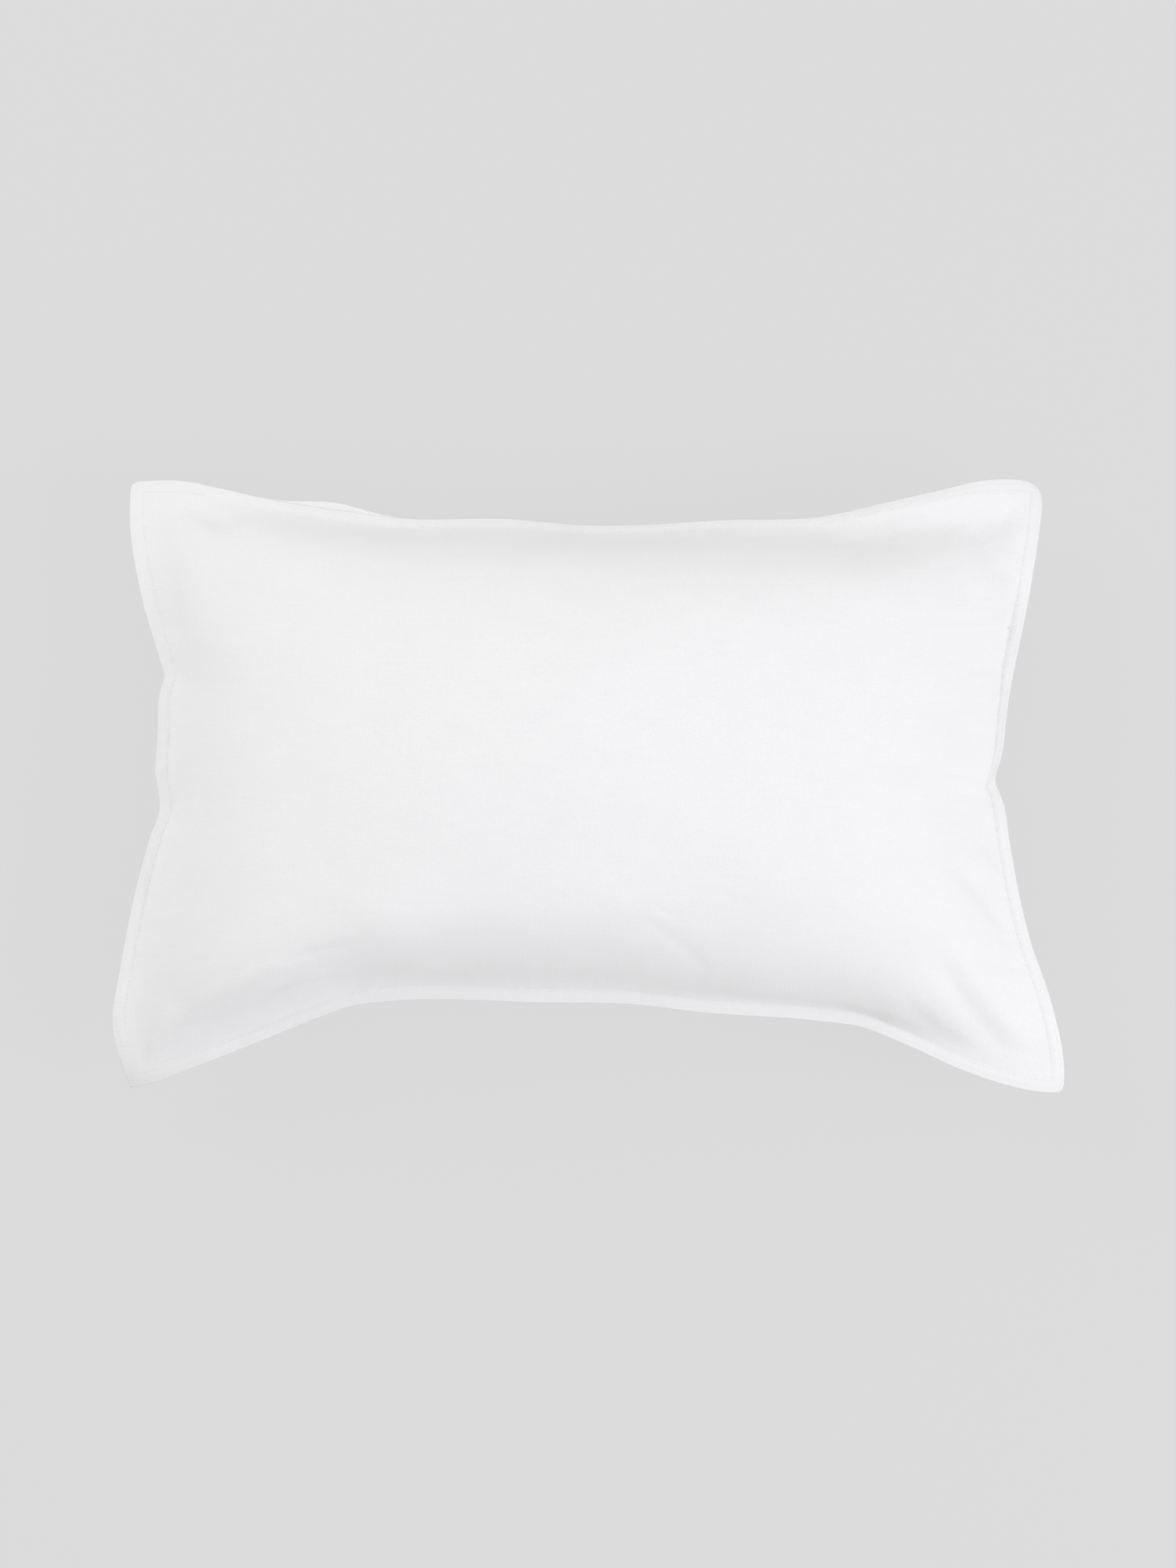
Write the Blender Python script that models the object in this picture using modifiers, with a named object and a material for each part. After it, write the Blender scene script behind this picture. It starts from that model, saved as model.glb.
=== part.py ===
"""Bed pillow: a flanged envelope case over a piped ticking full of fibre.

The pillow lies on its back. +X runs along its length, +Y across it and +Z up through its thickness.
The origin is on the surface it lies on, under the middle of its outline. Lengths are in metres.

Every layer of cloth is laid on the same lines, which run from edge to edge of the case, so the
layers stay parallel and clear of each other.
"""

import math
from dataclasses import dataclass

import bmesh
import bpy
from mathutils import Vector

PILLOW = "bed_pillow"

# The case, sewn and laid flat
CASE_LENGTH = 0.750
CASE_WIDTH = 0.500
FLANGE = 0.011  # flat border outside the seam
CLOTH = 0.0006
FLAP_SHOWN = 0.185  # the flap that shows, from the right edge to the back panel's hem
FLAP_OVERLAP = 0.160  # the flap that tucks in behind the back panel

# The case, filled
SEAM_HEIGHT = 0.090  # the side seams, above the surface
CORNER_DROP = 0.018  # the corners, below the side seams
FRONT_CROWN = 0.110  # the middle of the front, above the side seams
BACK_PRESS = 0.006  # how far the weight flattens the back
ROUNDNESS = 0.45  # 0.5 is an ellipse, and less is a fuller edge

# How far filling draws each edge of the case in, as (place along the edge from -1 to 1, distance)
LEFT_PULL = (
    (-1.0, 0.027), (-0.79, 0.017), (-0.47, 0.031), (-0.10, 0.052),
    (0.30, 0.055), (0.48, 0.049), (0.73, 0.035), (1.0, 0.029),
)
RIGHT_PULL = (
    (-1.0, 0.017), (-0.73, 0.027), (-0.53, 0.041), (-0.34, 0.053),
    (0.0, 0.070), (0.22, 0.061), (0.48, 0.050), (0.80, 0.036), (1.0, 0.030),
)
TOP_PULL = (
    (-1.0, 0.021), (-0.88, 0.022), (-0.68, 0.036), (-0.40, 0.051), (0.03, 0.055),
    (0.52, 0.049), (0.64, 0.040), (0.76, 0.030), (0.88, 0.019), (1.0, 0.021),
)
BOTTOM_PULL = (
    (-1.0, 0.019), (-0.90, 0.031), (-0.78, 0.047), (-0.47, 0.087), (0.15, 0.083),
    (0.49, 0.072), (0.61, 0.062), (0.67, 0.050), (0.78, 0.035), (0.90, 0.021), (1.0, 0.019),
)

# The ticking and its fibre
TICKING = 0.0004
INSERT_EASE = 0.016  # from the case's seam in to the ticking's edge
PIPING_RADIUS = 0.002
FILL_EASE = 0.003  # from the ticking's edge in to the fibre

# Threads and labels
THREAD_RADIUS = 0.0002
STITCH_OFFSET = 0.0018  # the topstitch, outside the seam
LABEL = 0.0003
LABEL_WIDTH = 0.040
LABEL_REACH = 0.008
LABEL_ROOT = 0.0005  # from a seam to the label that it holds

GAP = 0.0003  # between pieces that rest on each other
HEM_CLEARANCE = 0.0005  # between the back panel's hem and the flap's side seams

# How finely the solids are cut, from the middle of the pillow to its seam
CELLS_ALONG = 8
CELLS_ACROSS = 5
CLOSEST_TO_HEM = 0.012  # a line nearer than this to a hem is left out

BACK_CROWN = SEAM_HEIGHT + BACK_PRESS
PIPING_INSET = INSERT_EASE - TICKING - 2 * GAP - PIPING_RADIUS  # its middle, in from the case's seam


@dataclass(frozen=True)
class Line:
    """A line across the pillow: a share of the way out to the seam, less a distance back from there."""

    share: float
    inset: float = 0.0

    def place(self, half):
        """Where the line crosses, from -1 to 1, when the edges are half that far from the middle."""
        outward = math.copysign(1, self.share)
        return (self.share * (half - FLANGE) - self.inset * outward) / half


@dataclass(frozen=True)
class Belly:
    """The swell of a panel: its height in the middle, and how far inside the seam it begins."""

    height: float
    inset: float = 0.0

    def rise(self, column, row):
        """The panel's height where two lines cross, which falls to 0 at its own edge."""
        swell = self.height
        for line, half in ((column, half_length(row.share)), (row, half_width(column.share))):
            reach = (half - FLANGE - self.inset) / half
            swell *= max(0.0, 1 - (line.place(half) / reach) ** 2) ** ROUNDNESS
        return swell


def smooth(points, place):
    """The value at a place on a smooth curve through (place, value) points."""
    last = len(points) - 1
    after = next(i for i in range(1, last + 1) if place <= points[i][0] or i == last)
    before = after - 1

    def slope(i):
        start, end = points[max(i - 1, 0)], points[min(i + 1, last)]
        return (end[1] - start[1]) / (end[0] - start[0])

    span = points[after][0] - points[before][0]
    t = (place - points[before][0]) / span
    lean = (1 - t) ** 2 * t * slope(before) - t**2 * (1 - t) * slope(after)
    blend = t**2 * (3 - 2 * t)
    return points[before][1] * (1 - blend) + points[after][1] * blend + lean * span


def between(start, end, place):
    """A value or point that goes evenly from start to end as a place goes from -1 to 1."""
    return start + (end - start) * (place + 1) / 2


def left_edge(q):
    """A point on the left edge of the filled case, seen from above."""
    y = between(-CASE_WIDTH / 2 + BOTTOM_PULL[0][1], CASE_WIDTH / 2 - TOP_PULL[0][1], q)
    return Vector((-CASE_LENGTH / 2 + smooth(LEFT_PULL, q), y, 0))


def right_edge(q):
    """A point on the right edge of the filled case, seen from above."""
    y = between(-CASE_WIDTH / 2 + BOTTOM_PULL[-1][1], CASE_WIDTH / 2 - TOP_PULL[-1][1], q)
    return Vector((CASE_LENGTH / 2 - smooth(RIGHT_PULL, q), y, 0))


def bottom_edge(p):
    """A point on the near long edge of the filled case, seen from above."""
    x = between(-CASE_LENGTH / 2 + LEFT_PULL[0][1], CASE_LENGTH / 2 - RIGHT_PULL[0][1], p)
    return Vector((x, -CASE_WIDTH / 2 + smooth(BOTTOM_PULL, p), 0))


def top_edge(p):
    """A point on the far long edge of the filled case, seen from above."""
    x = between(-CASE_LENGTH / 2 + LEFT_PULL[-1][1], CASE_LENGTH / 2 - RIGHT_PULL[-1][1], p)
    return Vector((x, CASE_WIDTH / 2 - smooth(TOP_PULL, p), 0))


def half_length(q):
    """Half the length of the filled case at a place across it."""
    return (right_edge(q).x - left_edge(q).x) / 2


def half_width(p):
    """Half the width of the filled case at a place along it."""
    return (top_edge(p).y - bottom_edge(p).y) / 2


def seam_point(column, row):
    """The point where two lines cross on a sheet hung between the edges, whose corners droop."""
    p = column.place(half_length(row.share))
    q = row.place(half_width(column.share))
    across = between(bottom_edge(p), top_edge(p), q)
    along = between(left_edge(q), right_edge(q), p)
    near = between(left_edge(-1), right_edge(-1), p)
    far = between(left_edge(1), right_edge(1), p)
    level = Vector((0, 0, SEAM_HEIGHT - CORNER_DROP * (p * q) ** 4))
    return across + along - between(near, far, q) + level


def front_point(column, row, belly):
    """A point on a panel that swells up from the seams."""
    return seam_point(column, row) + Vector((0, 0, GAP / 2 + belly.rise(column, row)))


def back_point(column, row, belly, floor):
    """A point on a panel that swells down from the seams and lies flat at its lowest level."""
    point = seam_point(column, row)
    point.z = max(floor, point.z - GAP / 2 - belly.rise(column, row))
    return point


def swell_lines(cells):
    """Lines from one seam to the other, closer together towards the seams."""
    return [Line(math.sin(math.pi / 2 * i / cells)) for i in range(-cells, cells + 1)]


def hem_line():
    """The edge of the back panel, beyond which the flap shows."""
    return Line(1 - FLAP_SHOWN / (CASE_LENGTH / 2))


def flap_line():
    """The flap's own hem, tucked in behind the back panel."""
    return Line(hem_line().share - FLAP_OVERLAP / (CASE_LENGTH / 2))


def case_columns():
    """The lines across the case: its edges, its seams, the two hems and the lines between."""
    hems = [flap_line(), hem_line()]
    closest = CLOSEST_TO_HEM / (CASE_LENGTH / 2)
    free = [c for c in swell_lines(CELLS_ALONG) if min(abs(c.share - h.share) for h in hems) > closest]
    inside = sorted(free + hems, key=lambda line: line.share)
    return [Line(-1, -FLANGE), *inside, Line(1, -FLANGE)]


def case_rows():
    """The lines along the case: its edges, its seams and the lines between."""
    return [Line(-1, -FLANGE), *swell_lines(CELLS_ACROSS), Line(1, -FLANGE)]


def lines_within(lines, inset, half):
    """The lines that lie well inside a smaller outline, with that outline's own at each end."""
    outermost = 1 - 1.5 * inset / (half - FLANGE)
    return [Line(-1, inset), *[line for line in lines if abs(line.share) < outermost], Line(1, inset)]


def material(name, color, roughness):
    """A plain finish."""
    made = bpy.data.materials.new(name)
    made.use_nodes = True
    shader = made.node_tree.nodes["Principled BSDF"]
    shader.inputs["Base Color"].default_value = (*color, 1.0)
    shader.inputs["Roughness"].default_value = roughness
    shader.inputs["Metallic"].default_value = 0.0
    made.diffuse_color = (*color, 1.0)
    return made


def add_piece(name, data, finish):
    """Puts a mesh or a curve in the pillow's collection as a named piece."""
    data.materials.append(finish)
    piece = bpy.data.objects.new(name, data)
    bpy.data.collections[PILLOW].objects.link(piece)
    return piece


def shade(mesh):
    """Shades a cloth mesh smooth, but for its folded and cut edges."""
    mesh.shade_smooth()
    mesh.set_sharp_from_angle(angle=math.radians(50))


def lay_grid(cloth, columns, rows, point_at):
    """Adds a grid with a vertex where each column crosses each row, and returns their lines."""
    cells_x, cells_y = len(columns) - 1, len(rows) - 1
    grid = bmesh.ops.create_grid(cloth, x_segments=cells_x, y_segments=cells_y, size=1.0)
    crossings = {}
    for vertex in grid["verts"]:
        column = columns[round((vertex.co.x + 1) / 2 * cells_x)]
        row = rows[round((vertex.co.y + 1) / 2 * cells_y)]
        crossings[vertex] = (column, row)
        vertex.co = point_at(column, row)
    return crossings


def cloth_panel(name, columns, rows, point_at, thickness, finish, faces_up, leave_out=None):
    """A panel of cloth: an open grid that gets its thickness on the side that it faces.

    leave_out(crossings) says whether a cell with those four crossings isn't part of the panel.
    """
    cloth = bmesh.new()
    crossings = lay_grid(cloth, columns, rows, point_at)
    if leave_out:
        outside = [f for f in cloth.faces if leave_out([crossings[v] for v in f.verts])]
        bmesh.ops.delete(cloth, geom=outside, context="FACES")
    if not faces_up:
        bmesh.ops.reverse_faces(cloth, faces=cloth.faces)
    mesh = bpy.data.meshes.new(name)
    cloth.to_mesh(mesh)
    cloth.free()
    shade(mesh)
    piece = add_piece(name, mesh, finish)
    solidify = piece.modifiers.new("thickness", "SOLIDIFY")
    solidify.thickness = thickness
    solidify.offset = 1.0
    solidify.use_even_offset = True


def sewn_loop(name, points, radius, bevel_resolution, finish):
    """A thread or a cord that runs all the way round: a closed curve with a round section."""
    curve = bpy.data.curves.new(name, "CURVE")
    curve.dimensions = "3D"
    curve.bevel_depth = radius
    curve.bevel_resolution = bevel_resolution
    spline = curve.splines.new("POLY")
    spline.points.add(len(points) - 1)
    for spot, point in zip(spline.points, points):
        spot.co = (*point, 1.0)
    spline.use_cyclic_u = True
    add_piece(name, curve, finish)


def loop_crossings(columns, rows, inset):
    """The crossings round a loop that keeps a distance from the seam, one for each column and row."""
    low, high = Line(-1, inset), Line(1, inset)
    inner_columns = columns[1:-1]
    inner_rows = rows[1:-1]
    near = [(column, low) for column in [low, *inner_columns]]
    right = [(high, row) for row in [low, *inner_rows]]
    far = [(column, high) for column in [high, *reversed(inner_columns)]]
    left = [(low, row) for row in [high, *reversed(inner_rows)]]
    return near + right + far + left


def case_back_point(column, row):
    """A point on the inner face of the case's back."""
    return back_point(column, row, Belly(BACK_CROWN), CLOTH)


def tucked_point(column, row):
    """A point on the inner face of the flap where it lies on the back panel."""
    beside = Line(column.share, column.inset - GAP)
    beyond = Line(row.share, row.inset - GAP)
    point = case_back_point(column, row)
    run = (case_back_point(beside, row) - point) * math.copysign(1, column.share)
    rise = (case_back_point(column, beyond) - point) * math.copysign(1, row.share)
    return point + run.cross(rise).normalized() * (CLOTH + GAP)


def add_case(linen, columns, rows):
    """The case's front panel, its back panel and the flap that closes it."""

    def front(column, row):
        return front_point(column, row, Belly(FRONT_CROWN))

    cloth_panel("case_front_panel", columns, rows, front, CLOTH, linen, True)

    hem = hem_line()
    shown = columns[: columns.index(hem) + 1]
    cloth_panel("case_back_panel", shown, rows, case_back_point, CLOTH, linen, False)

    flap_start = Line(hem.share, -HEM_CLEARANCE)
    tucked = columns[columns.index(flap_line()) : columns.index(hem)]
    flap_columns = [*tucked, flap_start, *columns[columns.index(hem) + 1 :]]
    side = rows[-3].share

    def flap(column, row):
        is_tucked = column.share <= hem.share and abs(row.share) <= side
        return tucked_point(column, row) if is_tucked else case_back_point(column, row)

    def beside_flap(crossings):
        is_tucked = all(column.share <= hem.share for column, _ in crossings)
        return is_tucked and any(abs(row.share) > side for _, row in crossings)

    cloth_panel("case_back_flap", flap_columns, rows, flap, CLOTH, linen, False, beside_flap)


def add_topstitch(thread, columns, rows):
    """The topstitch round the flange: its upper thread on the front and its bobbin thread behind."""
    crossings = loop_crossings(columns[1:-1], rows[1:-1], -STITCH_OFFSET)
    clear = Vector((0, 0, GAP / 2 + CLOTH + GAP + THREAD_RADIUS))
    upper = [seam_point(*crossing) + clear for crossing in crossings]
    bobbin = [seam_point(*crossing) - clear for crossing in crossings]
    sewn_loop("case_topstitch_front", upper, THREAD_RADIUS, 0, thread)
    sewn_loop("case_topstitch_back", bobbin, THREAD_RADIUS, 0, thread)


def add_ticking(cotton, cord, columns, rows):
    """The ticking's two panels and the piping in the seam that joins them."""
    upper = Belly(FRONT_CROWN - GAP - TICKING, INSERT_EASE)
    floor = 2 * (CLOTH + GAP) + TICKING
    lower = Belly(BACK_CROWN + CLOTH - floor, INSERT_EASE)

    def front(column, row):
        return front_point(column, row, upper)

    def back(column, row):
        return back_point(column, row, lower, floor)

    cloth_panel("ticking_front", columns, rows, front, TICKING, cotton, True)
    cloth_panel("ticking_back", columns, rows, back, TICKING, cotton, False)

    crossings = loop_crossings(columns, rows, PIPING_INSET)
    route = [seam_point(*crossing) for crossing in crossings]
    sewn_loop("ticking_piping", route, PIPING_RADIUS, 1, cord)


def add_fill(fibre, columns, rows):
    """The fibre: one soft body, with its upper and lower faces joined round its edge."""
    inset = INSERT_EASE + FILL_EASE
    floor = 2 * (CLOTH + GAP) + TICKING + GAP
    upper = Belly(FRONT_CROWN - TICKING - 2 * GAP, inset)
    lower = Belly(BACK_CROWN + CLOTH - floor, inset)

    def top(column, row):
        return seam_point(column, row) + Vector((0, 0, upper.rise(column, row)))

    def bottom(column, row):
        point = seam_point(column, row)
        point.z = max(floor, point.z - lower.rise(column, row))
        return point

    body = bmesh.new()
    lay_grid(body, columns, rows, top)
    upper_faces = set(body.faces)
    lay_grid(body, columns, rows, bottom)
    lower_faces = [face for face in body.faces if face not in upper_faces]
    bmesh.ops.reverse_faces(body, faces=lower_faces)
    rim = [vertex for vertex in body.verts if vertex.is_boundary]
    bmesh.ops.remove_doubles(body, verts=rim, dist=0.00001)
    mesh = bpy.data.meshes.new("fill")
    body.to_mesh(mesh)
    body.free()
    shade(mesh)
    add_piece("fill", mesh, fibre)


def add_label(name, side, root, rows, satin):
    """A blank folded label between the front and the back, held at one end of the pillow.

    side is -1 for the left end and 1 for the right one, root is the label's outer edge, back from
    the seam, and rows are the two lines that it lies midway between.
    """
    columns = [Line(side, root + LABEL_REACH * share) for share in (0.0, 0.5, 1.0)]
    if side > 0:
        columns.reverse()

    def point_at(column, share):
        start, end = (seam_point(column, row) for row in rows)
        along = (end - start).normalized() * LABEL_WIDTH * share
        return (start + end) / 2 + along - Vector((0, 0, LABEL / 2))

    cloth_panel(name, columns, (-0.5, 0.0, 0.5), point_at, LABEL, satin, True)


def add_labels(satin, rows):
    """The case's care label in its right seam, and the ticking's label in its left one."""
    middle = len(rows) // 2
    add_label("case_care_label", 1, LABEL_ROOT, rows[middle + 1 : middle + 3], satin)
    root = PIPING_INSET - PIPING_RADIUS - LABEL_ROOT - LABEL_REACH
    add_label("ticking_label", -1, root, rows[middle - 2 : middle], satin)


def main():
    """Clears the scene and builds the pillow from the outside in."""
    for item in list(bpy.data.objects):
        bpy.data.objects.remove(item)
    bpy.context.scene.collection.children.link(bpy.data.collections.new(PILLOW))

    linen = material("white_linen", (0.86, 0.86, 0.87), 0.9)
    thread = material("white_thread", (0.88, 0.88, 0.88), 0.6)
    cotton = material("white_cotton_ticking", (0.82, 0.82, 0.80), 0.85)
    cord = material("cotton_piping", (0.80, 0.80, 0.78), 0.8)
    satin = material("satin_label", (0.90, 0.90, 0.90), 0.4)
    fibre = material("fibre_fill", (0.92, 0.92, 0.91), 1.0)

    columns, rows = case_columns(), case_rows()
    add_case(linen, columns, rows)
    add_topstitch(thread, columns, rows)
    ticking_columns = lines_within(columns[1:-1], INSERT_EASE, half_length(0))
    ticking_rows = lines_within(rows[1:-1], INSERT_EASE, half_width(0))
    add_ticking(cotton, cord, ticking_columns, ticking_rows)
    fill_edge = INSERT_EASE + FILL_EASE
    fill_columns = [Line(-1, fill_edge), *ticking_columns[1:-1], Line(1, fill_edge)]
    fill_rows = [Line(-1, fill_edge), *ticking_rows[1:-1], Line(1, fill_edge)]
    add_fill(fibre, fill_columns, fill_rows)
    add_labels(satin, rows)


main()
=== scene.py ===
"""The looks of a bed pillow: a flanged linen case, sewn and filled, over a piped ticking.

+X runs along the pillow, +Y across it and +Z up from the surface that it lies on. Lengths are in
metres, unless a name says millimetres. Every layer of cloth is cut as a grid of lines on flat cloth,
then swelled by a cloth simulation, tucked along its seams and given its thickness.
"""

import logging
import math
from dataclasses import dataclass
from enum import Enum
from typing import Sequence

import bpy
import numpy as np
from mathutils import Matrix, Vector, noise


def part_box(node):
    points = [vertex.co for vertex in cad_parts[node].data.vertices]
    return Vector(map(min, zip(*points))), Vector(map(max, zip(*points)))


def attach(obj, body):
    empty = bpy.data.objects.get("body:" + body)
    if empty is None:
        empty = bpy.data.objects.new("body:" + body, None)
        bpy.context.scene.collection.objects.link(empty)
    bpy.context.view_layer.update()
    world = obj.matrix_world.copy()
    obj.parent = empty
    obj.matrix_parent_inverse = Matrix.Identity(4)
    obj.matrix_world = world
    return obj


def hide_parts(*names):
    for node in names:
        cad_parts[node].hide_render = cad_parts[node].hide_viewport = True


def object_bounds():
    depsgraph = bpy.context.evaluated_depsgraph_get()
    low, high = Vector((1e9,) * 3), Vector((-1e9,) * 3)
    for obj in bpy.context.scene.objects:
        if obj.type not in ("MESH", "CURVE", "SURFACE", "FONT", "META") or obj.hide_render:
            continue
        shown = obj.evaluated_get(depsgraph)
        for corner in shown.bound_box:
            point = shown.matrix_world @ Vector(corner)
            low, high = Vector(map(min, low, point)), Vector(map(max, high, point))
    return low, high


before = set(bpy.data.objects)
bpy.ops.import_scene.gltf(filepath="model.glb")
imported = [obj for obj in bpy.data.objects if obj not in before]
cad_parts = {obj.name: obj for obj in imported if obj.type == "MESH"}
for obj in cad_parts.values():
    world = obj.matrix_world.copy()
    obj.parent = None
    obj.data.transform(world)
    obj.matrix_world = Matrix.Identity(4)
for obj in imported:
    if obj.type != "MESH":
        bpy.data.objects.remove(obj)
CAD_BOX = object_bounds()
log = logging.getLogger("bed_pillow")

Array = np.ndarray
MM = 0.001
BODY = "root"
CLOTH_MAP = "cloth"  # the attribute that holds a point's place on the flat cloth
PAINTED_SHADE_MAP = "painted_shade"  # the attribute that holds the shade painted into seams, creases and gathers


class Face(Enum):
    """The two faces of the pillow, and the way that each of them swells."""

    FRONT = 1.0
    BACK = -1.0


class Side(Enum):
    """The four sides of the pillow."""

    LEFT = "left"
    RIGHT = "right"
    BOTTOM = "bottom"
    TOP = "top"

    @property
    def axis(self) -> int:
        """The axis that leads out over the side: 0 along the pillow, 1 across it."""
        return 0 if self in (Side.LEFT, Side.RIGHT) else 1

    @property
    def sign(self) -> int:
        """The direction along that axis which leads outwards."""
        return -1 if self in (Side.LEFT, Side.BOTTOM) else 1


class Slot(Enum):
    """The record's material slots."""

    LINEN = "case_linen"
    THREAD = "case_thread"
    SATIN = "label_satin"
    TICKING = "ticking_cotton"
    PIPING = "piping_cotton"
    FIBRE = "fill_fibre"


class Hold(Enum):
    """The ways that a sheet of cloth is held here."""

    STRETCHED = "stretched"
    FOLDED = "folded"


# ---------------------------------------------------------------- curves and grids


def smooth(places: Array, values: Array, at: Array) -> Array:
    """Reads a smooth curve through points.

    Args:
        places: Where the curve's points are, rising.
        values: The curve's value at each place, or a row of values.
        at: Where to read it, in an array of any shape.

    Returns:
        The values, in at's shape, with a last axis if each value is a row.
    """
    slopes = np.gradient(values, places, axis=0)
    before = np.clip(np.searchsorted(places, at, side="right") - 1, 0, len(places) - 2)
    span = places[before + 1] - places[before]
    t = np.clip((at - places[before]) / span, 0.0, 1.0)
    if values.ndim > 1:
        t, span = t[..., None], span[..., None]
    start = (2 * t**3 - 3 * t**2 + 1) * values[before] + (t**3 - 2 * t**2 + t) * span * slopes[before]
    end = (3 * t**2 - 2 * t**3) * values[before + 1] + (t**3 - t**2) * span * slopes[before + 1]
    return start + end


def stepped(table: Sequence[tuple[float, float]], at: Array) -> Array:
    """Reads a table of places and values, going gently from each value to the next one.

    Args:
        table: Rising places, each with its value.
        at: Where to read it, in an array of any shape.

    Returns:
        The value at each place.
    """
    places, values = np.array(table, dtype=float).T
    before = np.clip(np.searchsorted(places, at, side="right") - 1, 0, len(places) - 2)
    t = np.clip((at - places[before]) / (places[before + 1] - places[before]), 0.0, 1.0)
    return values[before] + (values[before + 1] - values[before]) * t * t * (3 - 2 * t)


def between(start: Array, end: Array, place: Array) -> Array:
    """Goes evenly from start to end as place goes from -1 to 1."""
    return start + (end - start) * (place + 1) / 2


def soft_floor(value: Array, floor: float, softness: float) -> Array:
    """Lifts what is below a floor up to it, round a soft corner."""
    return floor + 0.5 * ((value - floor) + np.sqrt((value - floor) ** 2 + softness**2))


def bell(distance: Array, width: float) -> Array:
    """A smooth bump, 1 in its middle."""
    return np.exp(-((distance / width) ** 2))


def unit(vectors: Array) -> Array:
    """The vectors at length 1."""
    return vectors / np.maximum(np.linalg.norm(vectors, axis=-1, keepdims=True), 1e-12)


def outward(points: Array, face: Face) -> Array:
    """The unit normals of a grid of points, on the side that its face of the pillow looks to.

    Args:
        points: A grid of points, by row and column.
        face: The face of the pillow that the grid belongs to.

    Returns:
        A unit vector for each point.
    """
    along = np.gradient(points, axis=1)
    across = np.gradient(points, axis=0)
    return unit(np.cross(along, across)) * face.value


def wander(at: Array, size: float, seed: float) -> Array:
    """Smooth noise from about -1 to 1.

    Args:
        at: Points as rows of x, y or x, y, z, in an array of any shape.
        size: The size of a swell of the noise.
        seed: Picks one field of noise.

    Returns:
        The noise at each point.
    """
    flat = at.reshape(-1, at.shape[-1]) / size
    values = [noise.noise(Vector((*row, seed) if len(row) == 2 else row)) for row in flat.tolist()]
    return np.array(values).reshape(at.shape[:-1])


def spline_weights(count: int, at: Array) -> Array:
    """Weights that read a smooth curve through evenly spaced values from -1 to 1.

    Args:
        count: How many values the curve has.
        at: Where to read it.

    Returns:
        A row of weights for each place, to multiply the values by.
    """
    position = (at + 1) / 2 * (count - 1)
    cell = np.clip(np.floor(position).astype(int), 0, count - 2)
    t = position - cell
    terms = (
        -0.5 * t**3 + t**2 - 0.5 * t,
        1.5 * t**3 - 2.5 * t**2 + 1,
        -1.5 * t**3 + 2 * t**2 + 0.5 * t,
        0.5 * t**3 - 0.5 * t**2,
    )
    padded = np.zeros((len(at), count + 2))
    rows = np.arange(len(at))
    for step, term in enumerate(terms):
        padded[rows, cell + step] += term
    weights = padded[:, 1:-1]
    weights[:, 0] += 2 * padded[:, 0]
    weights[:, 1] -= padded[:, 0]
    weights[:, -1] += 2 * padded[:, -1]
    weights[:, -2] -= padded[:, -1]
    return weights


def read_grid(grid: Array, p: Array, q: Array) -> Array:
    """Reads an evenly spaced grid of points, from -1 to 1 each way, at each column p and row q.

    Args:
        grid: The points, by row and column.
        p: The columns' places, from -1 to 1.
        q: The rows' places.

    Returns:
        A point for each row and column.
    """
    rows = spline_weights(grid.shape[0], q)
    columns = spline_weights(grid.shape[1], p)
    return np.einsum("rj,ck,jkx->rcx", rows, columns, grid)


# ---------------------------------------------------------------- the outline of the filled case


@dataclass(frozen=True)
class Edge:
    """One edge of the filled case, seen from above, as a smooth curve."""

    points: tuple[tuple[float, float], ...]  # in millimetres

    def at(self, place: Array) -> Array:
        """The curve's points at places from -1 to 1.

        Args:
            place: Where to read it, in an array of any shape.

        Returns:
            The x and y of each point.
        """
        points = np.array(self.points) * MM
        steps = np.linalg.norm(np.diff(points, axis=0), axis=1)
        travelled = np.concatenate([[0.0], np.cumsum(steps)])
        return smooth(2 * travelled / travelled[-1] - 1, points, place)


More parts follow.
